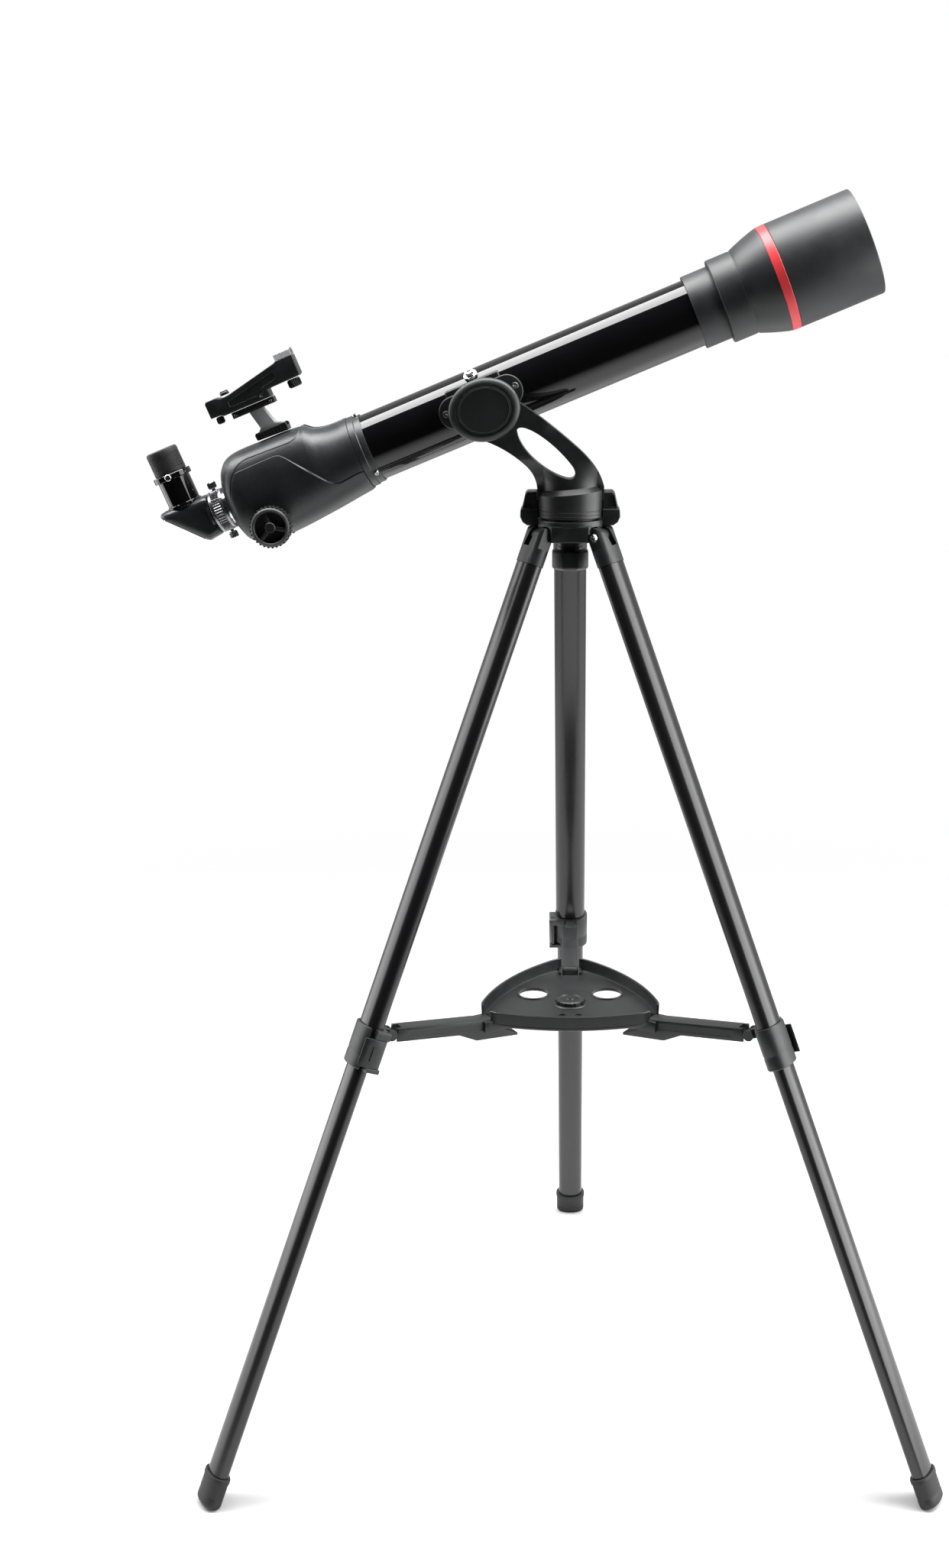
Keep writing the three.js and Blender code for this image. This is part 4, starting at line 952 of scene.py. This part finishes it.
boss_y = -47.7
face_y = boss_y + 2.6
plate_line = []
for side, start in ((1, -math.pi / 2), (-1, math.pi / 2)):
    for i in range(25):
        angle = start + math.pi * i / 24
        plate_line.append((-2 + side * 29 + 17 * math.cos(angle), 2 + 17 * math.sin(angle)))
plate = round_edges(side_prism(plate_line, face_y, face_y + 6), 1.2, 3)
saddle = round_edges(block(-34, 26, face_y + 5, -10, -25, 25), 2.0, 3)
pad = rod("y", 20, boss_y, face_y + 1, (0, 0, -TUBE_OFFSET), 64)
cradle = worked(plate, ("join", saddle), ("join", pad),
                ("cut", rod("y", 7.3, boss_y - 2, face_y + 5, (0, 0, -TUBE_OFFSET), 48)),
                ("cut", rod("x", TUBE_RADIUS + 0.3, -80, 80, count=128)))
set_piece("cradle_plate", cradle, TUBE, "optical_tube", moulded, ["cradle"],
          bevel=0.3)
screws("cradle_screws", TUBE, [((x, face_y - 0.9, 4), (0, -1, 0)) for x in (-40, 37)], 3.8, 1.9,
       "optical_tube")
axle = turned([(6.2, 0), (7, 0.8), (7, 32.2), (6.2, 33)], 48)
moved(axle, Matrix.Translation((0, -74, -TUBE_OFFSET)) @ Matrix.Rotation(-math.pi / 2, 4, "X"))
set_piece("altitude_axle_pin", axle, TUBE, "optical_tube", chrome,
          ["altitude_axle"])
post = turned([(7.1, TUBE_RADIUS + 0.3), (7.5, TUBE_RADIUS + 0.7), (7.5, TUBE_RADIUS + 2.6),
               (7.1, TUBE_RADIUS + 3.1), (5.1, TUBE_RADIUS + 3.4), (5, TUBE_RADIUS + 6.4),
               (4.4, TUBE_RADIUS + 7), (2.6, TUBE_RADIUS + 7), (2.4, TUBE_RADIUS + 5.4)], 40)
moved(post, Matrix.Translation((-3, 0, 0)) @ Matrix.Rotation(math.radians(34), 4, "X"))
set_piece("cradle_cap_screw", post, TUBE, "optical_tube", chrome,
          ["cradle_post"])

# ------------------------------------------------------------------------------------------
# Main tube: rolled aluminium in deep gloss black enamel, matt black inside.

gloss = finish("gloss_black_enamel", (0.0025, 0.0025, 0.003), (0.004, 0.004, 0.0045), 0.30, 0.05,
               120.0, 0.00001, coat=1.0, coat_rough=0.035, dust=0.01, specular=0.0)
tube = along_tube([(34, -140.6), (34.4, -141), (35.1, -141), (35.5, -140.6), (35.5, 261.6),
                   (35.1, 262), (34.4, 262), (34, 261.6)], 128, hollow=True)
set_piece("optical_tube_barrel", tube, TUBE, "optical_tube", gloss,
          ["main_tube"])

# ------------------------------------------------------------------------------------------
# Objective cell, lens, light shade and band. The shade is a flared moulding pushed on the
# cell, with ribs of fine steps inside; the band is a painted ring in a groove.

shade_plastic = finish("moulded_shade_plastic", (0.010, 0.011, 0.012), (0.015, 0.016, 0.018), 0.44,
                       0.05, 1600.0, 0.00008, rub=0.35, dust=0.03)
cell = along_tube([(35.8, 236), (38.6, 236), (39, 236.4), (39, 264.4), (38.8, 265), (41, 265),
                   (41, 288), (36.5, 288), (36.5, 268), (33.5, 268), (33.5, 262.3),
                   (35.8, 262.3)], 128, hollow=True)
set_piece("objective_cell_ring", cell, TUBE, "optical_tube", shade_plastic,
          ["objective_cell"], sharp=26.0)

lens_profile = [(0.4, 268.3), (34.6, 268.3), (35, 268.7), (35, 274.6)]
for i in range(1, 12):
    radius = 35.0 * (1 - i / 12)
    lens_profile.append((radius, 275 + 3 * (1 - (radius / 35.0) ** 2)))
lens_profile.append((0.4, 278))


def clear(name, values, haze, smooth, hazy):
    """A see-through material whose gloss drifts between two values."""
    material = bpy.data.materials.new(name)
    material.use_nodes = True
    tree = material.node_tree
    shader = tree.nodes["Principled BSDF"]
    for entry, value in values.items():
        shader.inputs[entry].default_value = value
    film = add_node(tree, "ShaderNodeTexNoise", haze)
    film_range = add_node(tree, "ShaderNodeMapRange", {"To Min": smooth, "To Max": hazy})
    wire(tree, film, "Fac", film_range, "Value")
    wire(tree, film_range, "Result", shader, "Roughness")
    return material


lens_glass = clear("coated_lens_glass",
                   {"Base Color": (0.80, 0.86, 0.95, 1.0), "IOR": 1.5, "Transmission Weight": 1.0,
                    "Coat Weight": 0.6, "Coat Tint": (0.45, 0.6, 1.0, 1.0),
                    "Coat Roughness": 0.02}, {"Scale": 60.0}, 0.0, 0.05)
set_piece("objective_lens_glass", along_tube(lens_profile, 96), TUBE, "optical_tube", lens_glass,
          ["objective_lens"], sharp=40.0)

shade_profile = [(41.5, 265.3), (43.6, 265.3), (44.4, 266), (44.5, 267), (44.5, 290.2),
                 (44.1, 290.6), (44.1, 291.4), (44.7, 292.4), (45.6, 294.2)]
shade_profile += [(45.6 + 9.4 * t * (1.18 - 0.18 * t), 294.2 + 28.2 * t) for t in
                  [i / 8 for i in range(1, 9)]]
shade_profile += [(55.2, 324.5), (54, 324.5), (54.3, 334.7), (55.6, 334.7), (56, 335.2),
                  (56, 425.8), (55.6, 426.7), (54.6, 427), (53.8, 426.4), (53.4, 425)]
ridge = 425.0
while ridge > 342.0:
    shade_profile += [(53.1, ridge - 3.0), (52.6, ridge - 3.4), (53.1, ridge - 3.8)]
    ridge -= 3.8
shade_profile += [(53, 338), (51.5, 322), (41.5, 294)]
set_piece("light_shade", along_tube(shade_profile, 160, hollow=True), TUBE, "optical_tube",
          shade_plastic, ["dew_shield"], sharp=26.0)

red = finish("red_band_paint", (0.66, 0.042, 0.050), (0.60, 0.036, 0.044), 0.36, 0.05, 1100.0,
             0.00004)
band = along_tube([(54.7, 324.8), (55.4, 324.8), (55.75, 325.2), (56.2, 334), (55.9, 334.4),
                   (54.7, 334.4)], 160, hollow=True)
set_piece("shade_red_band", band, TUBE, "optical_tube", red, ["red_band"])

# ------------------------------------------------------------------------------------------
# Rear body: the focuser's housing, one moulding that is round at the tube, waisted behind it
# and tall and boxy at the back, with a raised side panel. A ring and three screws hold it.

ring = along_tube([(35.8, -143.7), (38.2, -143.7), (38.6, -143.3), (38.5, -137), (37.4, -136.2),
                   (37.3, -130.3), (36.9, -129.5), (35.8, -129.5)], 128, hollow=True)
body_plastic = finish("moulded_body_plastic", (0.012, 0.013, 0.0145), (0.017, 0.0185, 0.020), 0.36,
                      0.05, 1250.0, 0.00010, rub=0.45, dust=0.04)
set_piece("tube_rear_ring", ring, TUBE, "optical_tube", body_plastic,
          ["rear_ring"])
ring_spots = []
for degrees in (10, 130, 250):
    out = Matrix.Rotation(math.radians(degrees), 3, "X") @ Vector((0, 0, 1))
    ring_spots.append((Vector((-132.9, 0, 0)) + out * 38.1, out))
screws("rear_ring_screws", TUBE, ring_spots, 2.8, 1.8, "optical_tube")

STATIONS = [(-144, 38.8, -39.6, 39, 1.0), (-165, 39, -42, 39.4, 0.97), (-179, 42.5, -43.8, 40, 0.92),
            (-191, 50.3, -45.2, 40.5, 0.86), (-240, 52.3, -49.2, 41, 0.82),
            (-268, 51.8, -47, 40.5, 0.82), (-281, 47.5, -44.4, 38, 0.84), (-289, 38, -38, 32, 0.88),
            (-294, 25, -27, 22, 0.95)]


def between(x, column):
    """A station value at x, eased with a smooth curve through the stations."""
    for i in range(len(STATIONS) - 1):
        x0, x1 = STATIONS[i][0], STATIONS[i + 1][0]
        if x0 >= x >= x1:
            v0, v1 = STATIONS[i][column], STATIONS[i + 1][column]
            before = STATIONS[max(i - 1, 0)]
            after = STATIONS[min(i + 2, len(STATIONS) - 1)]
            m0 = (v1 - before[column]) / (x1 - before[0])
            m1 = (after[column] - v0) / (after[0] - x0)
            h = x1 - x0
            t = (x - x0) / h
            return ((2 * t ** 3 - 3 * t * t + 1) * v0 + (t ** 3 - 2 * t * t + t) * h * m0
                    + (3 * t * t - 2 * t ** 3) * v1 + (t ** 3 - t * t) * h * m1)
    return STATIONS[-1][column]


def crease(x, points):
    """Height of a crease that runs straight between (x, height) points."""
    for (x0, h0), (x1, h1) in zip(points, points[1:]):
        if x0 >= x >= x1:
            return h0 + (h1 - h0) * (x - x0) / (x1 - x0)
    return points[0][1] if x > points[0][0] else points[-1][1]


PANEL = [(-144, -17.6), (-150, -17), (-162, -18.3), (-171, -19.2), (-177, -17.4), (-183, -12.6),
         (-214, 25.6), (-219, 30.2), (-224, 31.8), (-244, 31.8), (-271, 31.2), (-294, 30)]
STRIP = [(-144, 60), (-186, 60), (-188.5, 50), (-192.8, 45), (-198, 41.2), (-204, 39.6), (-212, 39.7),
         (-254, 41.2), (-263, 39.2), (-270, 35), (-276, 29), (-281, 20), (-285, 12), (-294, -8)]
body_rings = []
x_stops = [-144.0]
while x_stops[-1] > -294.0:
    x_stops.append(max(x_stops[-1] - 1.5, -294.0))
for x in x_stops:
    top, low, half, power = (between(x, c) for c in (1, 2, 3, 4))
    middle, tall = (top + low) / 2, (top - low) / 2

    def edge(angle):
        c, s = math.cos(angle), math.sin(angle)
        return (half * math.copysign(abs(c) ** power, c),
                middle + tall * math.copysign(abs(s) ** power, s))

    def angle_at(height):
        lift = max(min((height - middle) / tall, 0.995), -0.995)
        return math.asin(math.copysign(abs(lift) ** (1 / power), lift))

    a_strip = angle_at(crease(x, STRIP))
    a_panel = min(angle_at(crease(x, PANEL)), a_strip - 0.11)
    step = 0.017
    stops = [math.pi / 2 + (a_strip + step - math.pi / 2) * i / 10 for i in range(10)]
    stops += [a_strip + step, a_strip + step / 2, a_strip - step, a_strip - 2 * step]
    stops += [a_strip - 2 * step + (a_panel + 4 * step - a_strip) * i / 8 for i in range(1, 8)]
    stops += [a_panel + 2 * step, a_panel + step, a_panel - step, a_panel - 2 * step]
    stops += [a_panel - 2 * step + (-math.pi / 2 + 2 * step - a_panel) * i / 26 for i in range(1, 26)]
    half_ring = []
    fade = min(1.0, (x + 294.0) / 9.0, (-144.0 - x) / 5.0 + 0.35)
    for angle in stops:
        y, z = edge(angle)
        raised = 0.0
        if angle <= a_panel:
            raised = 1.2
        elif angle >= a_strip + step:
            raised = -1.4
        elif angle >= a_strip - step:
            raised = 0.5
        grow = 1.0 + fade * raised / math.hypot(y, z - middle)
        half_ring.append((y * grow, middle + (z - middle) * grow))
    left = [(-y, z) for y, z in reversed(half_ring[1:])]
    points = half_ring + [(0.0, low)] + left
    body_rings.append([(x, y, z) for y, z in points])
shell = loft(body_rings)
shell = worked(shell, ("cut", rod("x", 33, -230, -140, count=64)),
               ("cut", rod("x", 19.7, -300, -225, count=64)),
               ("cut", block(-300, -225, -4, 4, -23.5, -10)),
               ("cut", block(-266, -244, -11, 11, -43.5, -15)),
               ("cut", rod("y", 3.5, -60, 60, (-255, 0, -33), 24)))
set_piece("focuser_housing", shell, TUBE, "optical_tube", body_plastic,
          ["rear_body"], sharp=24.0)

# ------------------------------------------------------------------------------------------
# Focus knobs: ribbed black grips on a steel shaft, each with three spokes sunk in its face.


def rib_tree():
    """Ribs set in a circle about Z: straight bars with softened edges."""
    tree = bpy.data.node_groups.new("ribs in a circle", "GeometryNodeTree")
    tree.interface.new_socket(name="Base", in_out="INPUT", socket_type="NodeSocketGeometry")
    tree.interface.new_socket(name="Count", in_out="INPUT", socket_type="NodeSocketInt")
    for label in ("Radius", "Length", "Width", "Height"):
        tree.interface.new_socket(name=label, in_out="INPUT", socket_type="NodeSocketFloat")
    tree.interface.new_socket(name="Finish", in_out="INPUT", socket_type="NodeSocketMaterial")
    tree.interface.new_socket(name="Ribs", in_out="OUTPUT", socket_type="NodeSocketGeometry")
    given = add_node(tree, "NodeGroupInput")
    out = add_node(tree, "NodeGroupOutput")
    circle = add_node(tree, "GeometryNodeMeshCircle")
    wire(tree, given, "Count", circle, "Vertices")
    wire(tree, given, "Radius", circle, "Radius")
    rib = add_node(tree, "GeometryNodeMeshCylinder", {"Vertices": 8, "Radius": 0.5, "Depth": 1.0})
    put = add_node(tree, "GeometryNodeInstanceOnPoints")
    wire(tree, circle, "Mesh", put, "Points")
    wire(tree, rib, "Mesh", put, "Instance")
    size = add_node(tree, "ShaderNodeCombineXYZ")
    wire(tree, given, "Height", size, "X")
    wire(tree, given, "Width", size, "Y")
    wire(tree, given, "Length", size, "Z")
    wire(tree, size, "Vector", put, "Scale")
    at = add_node(tree, "GeometryNodeInputPosition")
    face = add_node(tree, "FunctionNodeAlignRotationToVector", axis="X", pivot_axis="Z")
    wire(tree, at, "Position", face, "Vector")
    wire(tree, face, "Rotation", put, "Rotation")
    real = add_node(tree, "GeometryNodeRealizeInstances")
    wire(tree, put, "Instances", real, "Geometry")
    paint = add_node(tree, "GeometryNodeSetMaterial")
    wire(tree, real, "Geometry", paint, "Geometry")
    wire(tree, given, "Finish", paint, "Material")
    wire(tree, paint, "Geometry", out, "Ribs")
    return tree


ribs_in_circle = rib_tree()


def ribs(name, place, count, radius, length, width, height, body, material):
    """A circle of ribs about Z of a piece's own frame, sizes in millimetres."""
    mesh = bpy.data.meshes.new(name)
    mesh.from_pydata([(0.0, 0.0, 0.0)], [], [])
    holder = bpy.data.objects.new(name, mesh)
    scene.collection.objects.link(holder)
    modifier = holder.modifiers.new("ribs", "NODES")
    modifier.node_group = ribs_in_circle
    set_inputs(modifier, {"Count": count, "Radius": radius, "Length": length, "Width": width,
                          "Height": height, "Finish": material})
    made = plain_mesh(holder, name)
    made.transform(Matrix.Scale(MM, 4) @ STAND @ place)
    return set_made(name, made, body, material, sharp=50.0)


knob_rubber = finish("focus_knob_rubber", (0.009, 0.009, 0.0095), (0.014, 0.014, 0.015), 0.42, 0.06,
                     1200.0, 0.00006, rub=0.5)
for side, label in ((-1, "near"), (1, "far")):
    grip = turned([(18.5, 42.5), (20.2, 42.9), (20.9, 44), (20.9, 56.4), (20.2, 58.2), (18.6, 59.6),
                   (17.2, 60), (16.4, 59.2), (15.8, 53.6)], 96)
    steps = []
    for i in range(3):
        angle = math.radians(90 + 120 * i)
        spoke = block(0, 16.6, -2.2, 2.2, 52.6, 58.8)
        steps.append(("join", moved(round_edges(spoke, 0.7, 2), Matrix.Rotation(angle, 4, "Z"))))
    steps.append(("join", turned([(5.6, 55), (5.6, 59.2), (4.8, 60)], 40)))
    grip = worked(grip, *steps, ("cut", rod("z", 3.3, 40, 51.5, count=24)))
    upright = Matrix.Translation((-255, 0, -33)) @ Matrix.Rotation(-side * math.pi / 2, 4, "X")
    set_piece(f"focus_grip_{label}", grip, TUBE @ upright, "focus_knobs", knob_rubber,
              [f"focus_knob_{label}"], bevel=0.3)
    ribs(f"focus_grip_ribs_{label}", TUBE @ upright @ Matrix.Translation((0, 0, 50.4)), 30, 20.6,
         13.8, 2.5, 2.8, "focus_knobs", knob_rubber)
steel_shaft = turned([(2.6, -51), (3, -50.6), (3, -9), (9, -9), (9, 9), (3, 9), (3, 50.6),
                      (2.6, 51)], 40)
moved(steel_shaft, Matrix.Translation((-255, 0, -33)) @ Matrix.Rotation(math.pi / 2, 4, "X"))
set_piece("focus_shaft_steel", steel_shaft, TUBE, "focus_knobs", chrome,
          ["focus_shaft"])

# ------------------------------------------------------------------------------------------
# Drawtube: chromed tube with a rack below, ending in a knurled ring with two thumbscrews.

draw = along_tube([(16.3, -312.6), (16.7, -313), (18.6, -313), (19, -312.6), (19, -170),
                   (16.3, -170)], 96, hollow=True)
rack_line = [(-288, -18.2)]
for i in range(56):
    x = -287.5 + 2 * i
    rack_line += [(x, -22), (x + 0.5, -23), (x + 1.0, -23), (x + 1.5, -22)]
rack_line.append((-175, -18.2))
rack = side_prism(list(reversed(rack_line)), -3.5, 3.5)
draw = worked(draw, ("join", rack))
set_piece("drawtube_chromed", draw, TUBE, "draw", chrome, ["drawtube"])

knurl_metal = finish("dark_knurled_metal", (0.26, 0.26, 0.27), (0.34, 0.34, 0.35), 0.28, 0.06,
                     900.0, 0.00003, metallic=0.9, rub=0.9, rub_colour=(0.55, 0.55, 0.57))
ring = along_tube([(19.3, -312.8), (21.8, -312.8), (22.3, -312.3), (22.3, -309.8), (21.4, -309.2),
                   (21.4, -300.8), (22.3, -300.2), (22.3, -297.5), (21.8, -297), (19.3, -297)], 96,
                  hollow=True)
ring = worked(ring, ("cut", rod("z", 2.3, -40, 40, (-305, 0, 0), 24)))
set_piece("drawtube_ring_metal", ring, TUBE, "draw", knurl_metal,
          ["drawtube_ring"], bevel=0.2)
ribs("drawtube_ring_knurl", TUBE @ Matrix.Translation((-305, 0, 0)) @ LIE_X, 48, 21.6, 8.0, 1.7, 2.0,
     "draw", knurl_metal)

for side, label, body in ((1, "top", "top_screw"), (-1, "bottom", "bottom_screw")):
    screw = turned([(1.6, 19.4), (2, 19.8), (2, 24.6), (3.9, 24.6), (4.3, 25.2), (4.3, 31.3),
                    (3.7, 32), (1.2, 32)], 32)
    flip = Matrix.Translation((-305, 0, 0))
    if side < 0:
        flip = flip @ Matrix.Rotation(math.pi, 4, "X")
    set_piece(f"thumbscrew_{label}_body", screw, TUBE @ flip, body, chrome,
              [f"thumbscrew_{label}"])
    ribs(f"thumbscrew_{label}_knurl", TUBE @ flip @ Matrix.Translation((0, 0, 28.3)), 20, 4.3, 5.4,
         0.8, 0.9, body, chrome)

# ------------------------------------------------------------------------------------------
# Star diagonal: a satin black three-cornered housing over a mirror, with a steel nose in the
# drawtube and an upright gloss tube that takes the eyepiece under one set screw.

diagonal_plastic = finish("satin_diagonal_plastic", (0.014, 0.015, 0.016), (0.020, 0.021, 0.023),
                          0.30, 0.05, 1300.0, 0.00006, rub=0.5, dust=0.05)
housing_line = [(-314, -21.5), (-316, -22.9), (-328.5, -24.6), (-332.5, -22.6), (-367.8, 14.6),
                (-369.3, 18), (-367.4, 20.8), (-362, 21.8), (-322, 22), (-316, 21.6), (-314, 20.4)]
housing_rings = []
half_sizes = ((18.5, 0.60), (18.3, 0.70), (17.4, 0.80), (15.6, 0.89), (12.5, 0.955), (7, 0.99))
for y, size in (*((-y, size) for y, size in half_sizes), (0, 1.0), *reversed(half_sizes)):
    housing_rings.append([(-314 + (x + 314) * size, y, -1 + (z + 1) * size) for x, z in housing_line])
housing = loft(housing_rings)
nose = along_tube([(15.1, -272), (15.9, -272.8), (15.9, -316), (12, -316)], 64)
collar = along_tube([(19.5, -318), (21, -317), (21, -314.6), (20.2, -314)], 64)
mirror_bay = moved(block(-24.4, 24.4, -14.5, 14.5, -6.2, 3.1),
                   Matrix.Translation((-348.5, 0, -4)) @ Matrix.Rotation(math.radians(46.8), 4, "Y"))
housing = worked(housing, ("join", nose), ("join", collar),
                 ("cut", rod("x", 13.5, -353, -260, count=48)),
                 ("cut", rod("z", 13.5, -14, 40, (-339.5, 0, 0), 48)), ("cut", mirror_bay))
set_piece("diagonal_housing", housing, TUBE, "diagonal", diagonal_plastic,
          ["diagonal_body"], bevel=0.0, sharp=36.0)
holder = turned([(16.2, 20.6), (18.8, 20.6), (18.8, 22.6), (17.4, 23.6), (17.4, 50), (20.2, 50.4),
                 (20.6, 50.9), (20.6, 55.9), (20.1, 56.5), (16.6, 56.5), (16.2, 56.1)], 96,
                hollow=True)
moved(holder, Matrix.Translation((-339.5, 0, 0)))
holder = worked(holder, ("cut", rod("y", 1.9, -30, 0, (-339.5, 0, 53.4), 20)))
set_piece("eyepiece_holder_tube", holder, TUBE, "diagonal", gloss, sharp=30.0)

mirror = finish("silvered_glass", (0.88, 0.89, 0.90), (0.86, 0.87, 0.89), 0.04, 0.02, 400.0, 0.000002,
                metallic=1.0)
plate = moved(round_edges(block(-24, 24, -14, 14, 0, 2.8), 0.3, 1),
              Matrix.Translation((-348.5, 0, -4)) @ Matrix.Rotation(math.radians(46.8), 4, "Y"))
set_piece("diagonal_mirror_plate", plate, TUBE, "diagonal", mirror,
          ["diagonal_mirror"])

set_screw = turned([(1.2, 16.4), (1.6, 16.8), (1.6, 21), (3.1, 21.2), (3.4, 21.5), (3.4, 24.2),
                    (3.0, 24.6), (1.3, 24.6), (1.2, 23.6)], 32)
moved(set_screw, Matrix.Translation((-339.5, 0, 53.4)) @ Matrix.Rotation(math.pi / 2, 4, "X"))
set_piece("eyepiece_set_screw", set_screw, TUBE, "eyepiece_lock", chrome,
          ["eyepiece_screw"])
ribs("eyepiece_set_screw_knurl", TUBE @ Matrix.Translation((-339.5, -22.9, 53.4))
     @ Matrix.Rotation(math.pi / 2, 4, "X"), 18, 3.3, 2.6, 0.7, 0.7, "eyepiece_lock", chrome)

# ------------------------------------------------------------------------------------------
# Eyepiece: a metal barrel in a matt rubber-coated grip, with its eye lens set in a cup.

grip_line = [(12.4, 30), (15.4, 30), (15.8, 30.4), (15.8, 56.8), (16.7, 56.8), (17.2, 57.3),
             (17.2, 60)]
height = 60.0
while height < 76.0:
    grip_line += [(17.2, height + 1.5), (16.8, height + 1.8), (17.2, height + 2.1)]
    height += 2.1
grip_line += [(17.2, 80.2), (16.6, 82), (15.2, 82.8), (13, 83), (10.4, 82.4), (9.2, 80.6), (9, 74),
              (12.4, 70)]
grip = moved(turned(grip_line, 96, hollow=True), Matrix.Translation((-339.5, 0, 0)))
set_piece("eyepiece_grip", grip, TUBE, "eyepiece_unit", rubber, ["eyepiece"],
          sharp=40.0)
eye = turned([(0.3, 63), (7, 63.6), (12, 65), (12, 67), (7, 68.4), (0.3, 69)], 64)
set_piece("eye_lens_glass", moved(eye, Matrix.Translation((-339.5, 0, 0))), TUBE, "eyepiece_unit",
          lens_glass, ["eye_lens"])

# ------------------------------------------------------------------------------------------
# Finder: a red-dot sight. A ribbed shoe on the rear body, a folded steel stalk with its rail,
# a wedge-shaped moulded body, a clear window in front, two adjusting knobs and a dial.

shoe_line = [(-238, 52.3), (-238.6, 58), (-237.4, 60), (-204, 60), (-202.6, 58.6), (-203, 50.9)]
shoe = round_edges(side_prism(shoe_line, -12, 12), 0.8, 2)
steps = [("cut", block(-250, -190, -7.6, 7.6, 56, 62))]
for i in range(9):
    x = -235.5 + 3.8 * i
    for near, far in ((-14, -11.2), (11.2, 14)):
        steps.append(("cut", block(x, x + 1.3, near, far, 53, 59)))
set_piece("finder_shoe_block", worked(shoe, *steps), TUBE, "optical_tube", moulded,
          ["finder_shoe"], bevel=0.2)

sheet = finish("satin_sheet_steel", (0.60, 0.61, 0.62), (0.68, 0.69, 0.70), 0.36, 0.05, 1800.0,
               0.00002, metallic=0.6, stretch=(1.0, 1.0, 0.05))
neck = side_prism([(-233.6, 56.4), (-206, 56.4), (-206, 60.4), (-213.8, 63.4), (-219.6, 82.6),
                   (-234.8, 82.6), (-230.6, 63.4), (-233.6, 60.4)], -7.2, 7.2)
rail = side_prism([(-252.5, 82.4), (-204.7, 82.4), (-204.7, 89), (-210, 89), (-252.5, 89)], -9, 9)
set_piece("finder_stalk", round_edges(neck, 0.9, 2), TUBE, "optical_tube", sheet,
          ["finder_bracket"])
set_piece("finder_rail", round_edges(rail, 0.6, 2), TUBE, "optical_tube", moulded)

finder_line = [(-274, 91.6), (-262, 91), (-260, 89.3), (-206, 89.3), (-206, 97.4), (-187, 97.8),
               (-171, 98), (-168.5, 99.6), (-168.5, 120.5), (-187, 120.5), (-189.6, 119.2),
               (-246, 107.8), (-256, 107), (-262, 109.6), (-272.4, 109.6), (-274, 107.6)]
finder = round_edges(side_prism(finder_line, -12, 12), 0.9, 2)
steps = [("cut", block(-243, -186, -8.5, 8.5, 103, 130))]
for near, far in ((-14, -11.3), (11.3, 14)):
    steps.append(("cut", side_prism([(-250, 95.5), (-212, 95.5), (-212, 101), (-194, 104.5),
                                     (-194, 112), (-250, 101)], near, far)))
set_piece("finder_wedge", worked(finder, *steps), TUBE, "optical_tube", moulded,
          ["finder_body"], bevel=0.25)
screws("finder_screws", TUBE, [((-249, -9.2, 85.6), (0, -1, 0)), ((-209, -9.2, 85.6), (0, -1, 0)),
                               ((-216, -11.6, 93.2), (0, -1, 0))], 2.0, 0.9, "optical_tube")

window_glass = clear("pale_window_plastic",
                     {"Base Color": (0.62, 0.63, 0.65, 1.0), "IOR": 1.49,
                      "Transmission Weight": 0.3}, {"Scale": 45.0, "Detail": 5.0}, 0.10, 0.35)
arch = loft([[(x, y, z) for y, z in
              [(-11.5, 120.8), (-11.5, 126.5), (-9.8, 128.9), (-7, 129.5), (7, 129.5), (9.8, 128.9),
               (11.5, 126.5), (11.5, 120.8), (9.7, 120.8), (9.7, 126), (8.4, 127.5), (6, 127.9),
               (-6, 127.9), (-8.4, 127.5), (-9.7, 126), (-9.7, 120.8)]] for x in (-187, -168.5)])
set_piece("finder_window_hood", arch, TUBE, "optical_tube", window_glass,
          ["finder_window"])

for name, body, x, low, high, radius, node in (
        ("finder_front_knob", "finder_front", -178.7, 88.5, 97.4, 7.4, "finder_knob_front"),
        ("finder_rear_knob", "finder_rear", -267.0, 83.0, 90.8, 4.4, "finder_knob_rear")):
    knob = turned([(radius - 1.6, low), (radius - 0.9, low + 0.5), (radius - 0.9, high - 0.7),
                   (radius - 1.5, high)], 48)
    upright = TUBE @ Matrix.Translation((x, 0, 0))
    set_piece(name, knob, upright, body, moulded, [node])
    ribs(name + "_ribs", upright @ Matrix.Translation((0, 0, (low + high) / 2)), 24, radius - 0.9,
         high - low - 2.2, radius * 0.14, 1.6, body, moulded)
dial = turned([(5, 109), (5, 111.6), (4.4, 112.3), (1.6, 112.6)], 40)
dial = worked(dial, ("join", round_edges(block(-4.2, 4.2, -0.9, 0.9, 110.4, 113.6), 0.3, 1)))
set_piece("finder_dial", moved(dial, Matrix.Translation((-252, 0, 0))), TUBE, "finder_dial", moulded,
          ["finder_switch"])

low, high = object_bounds()
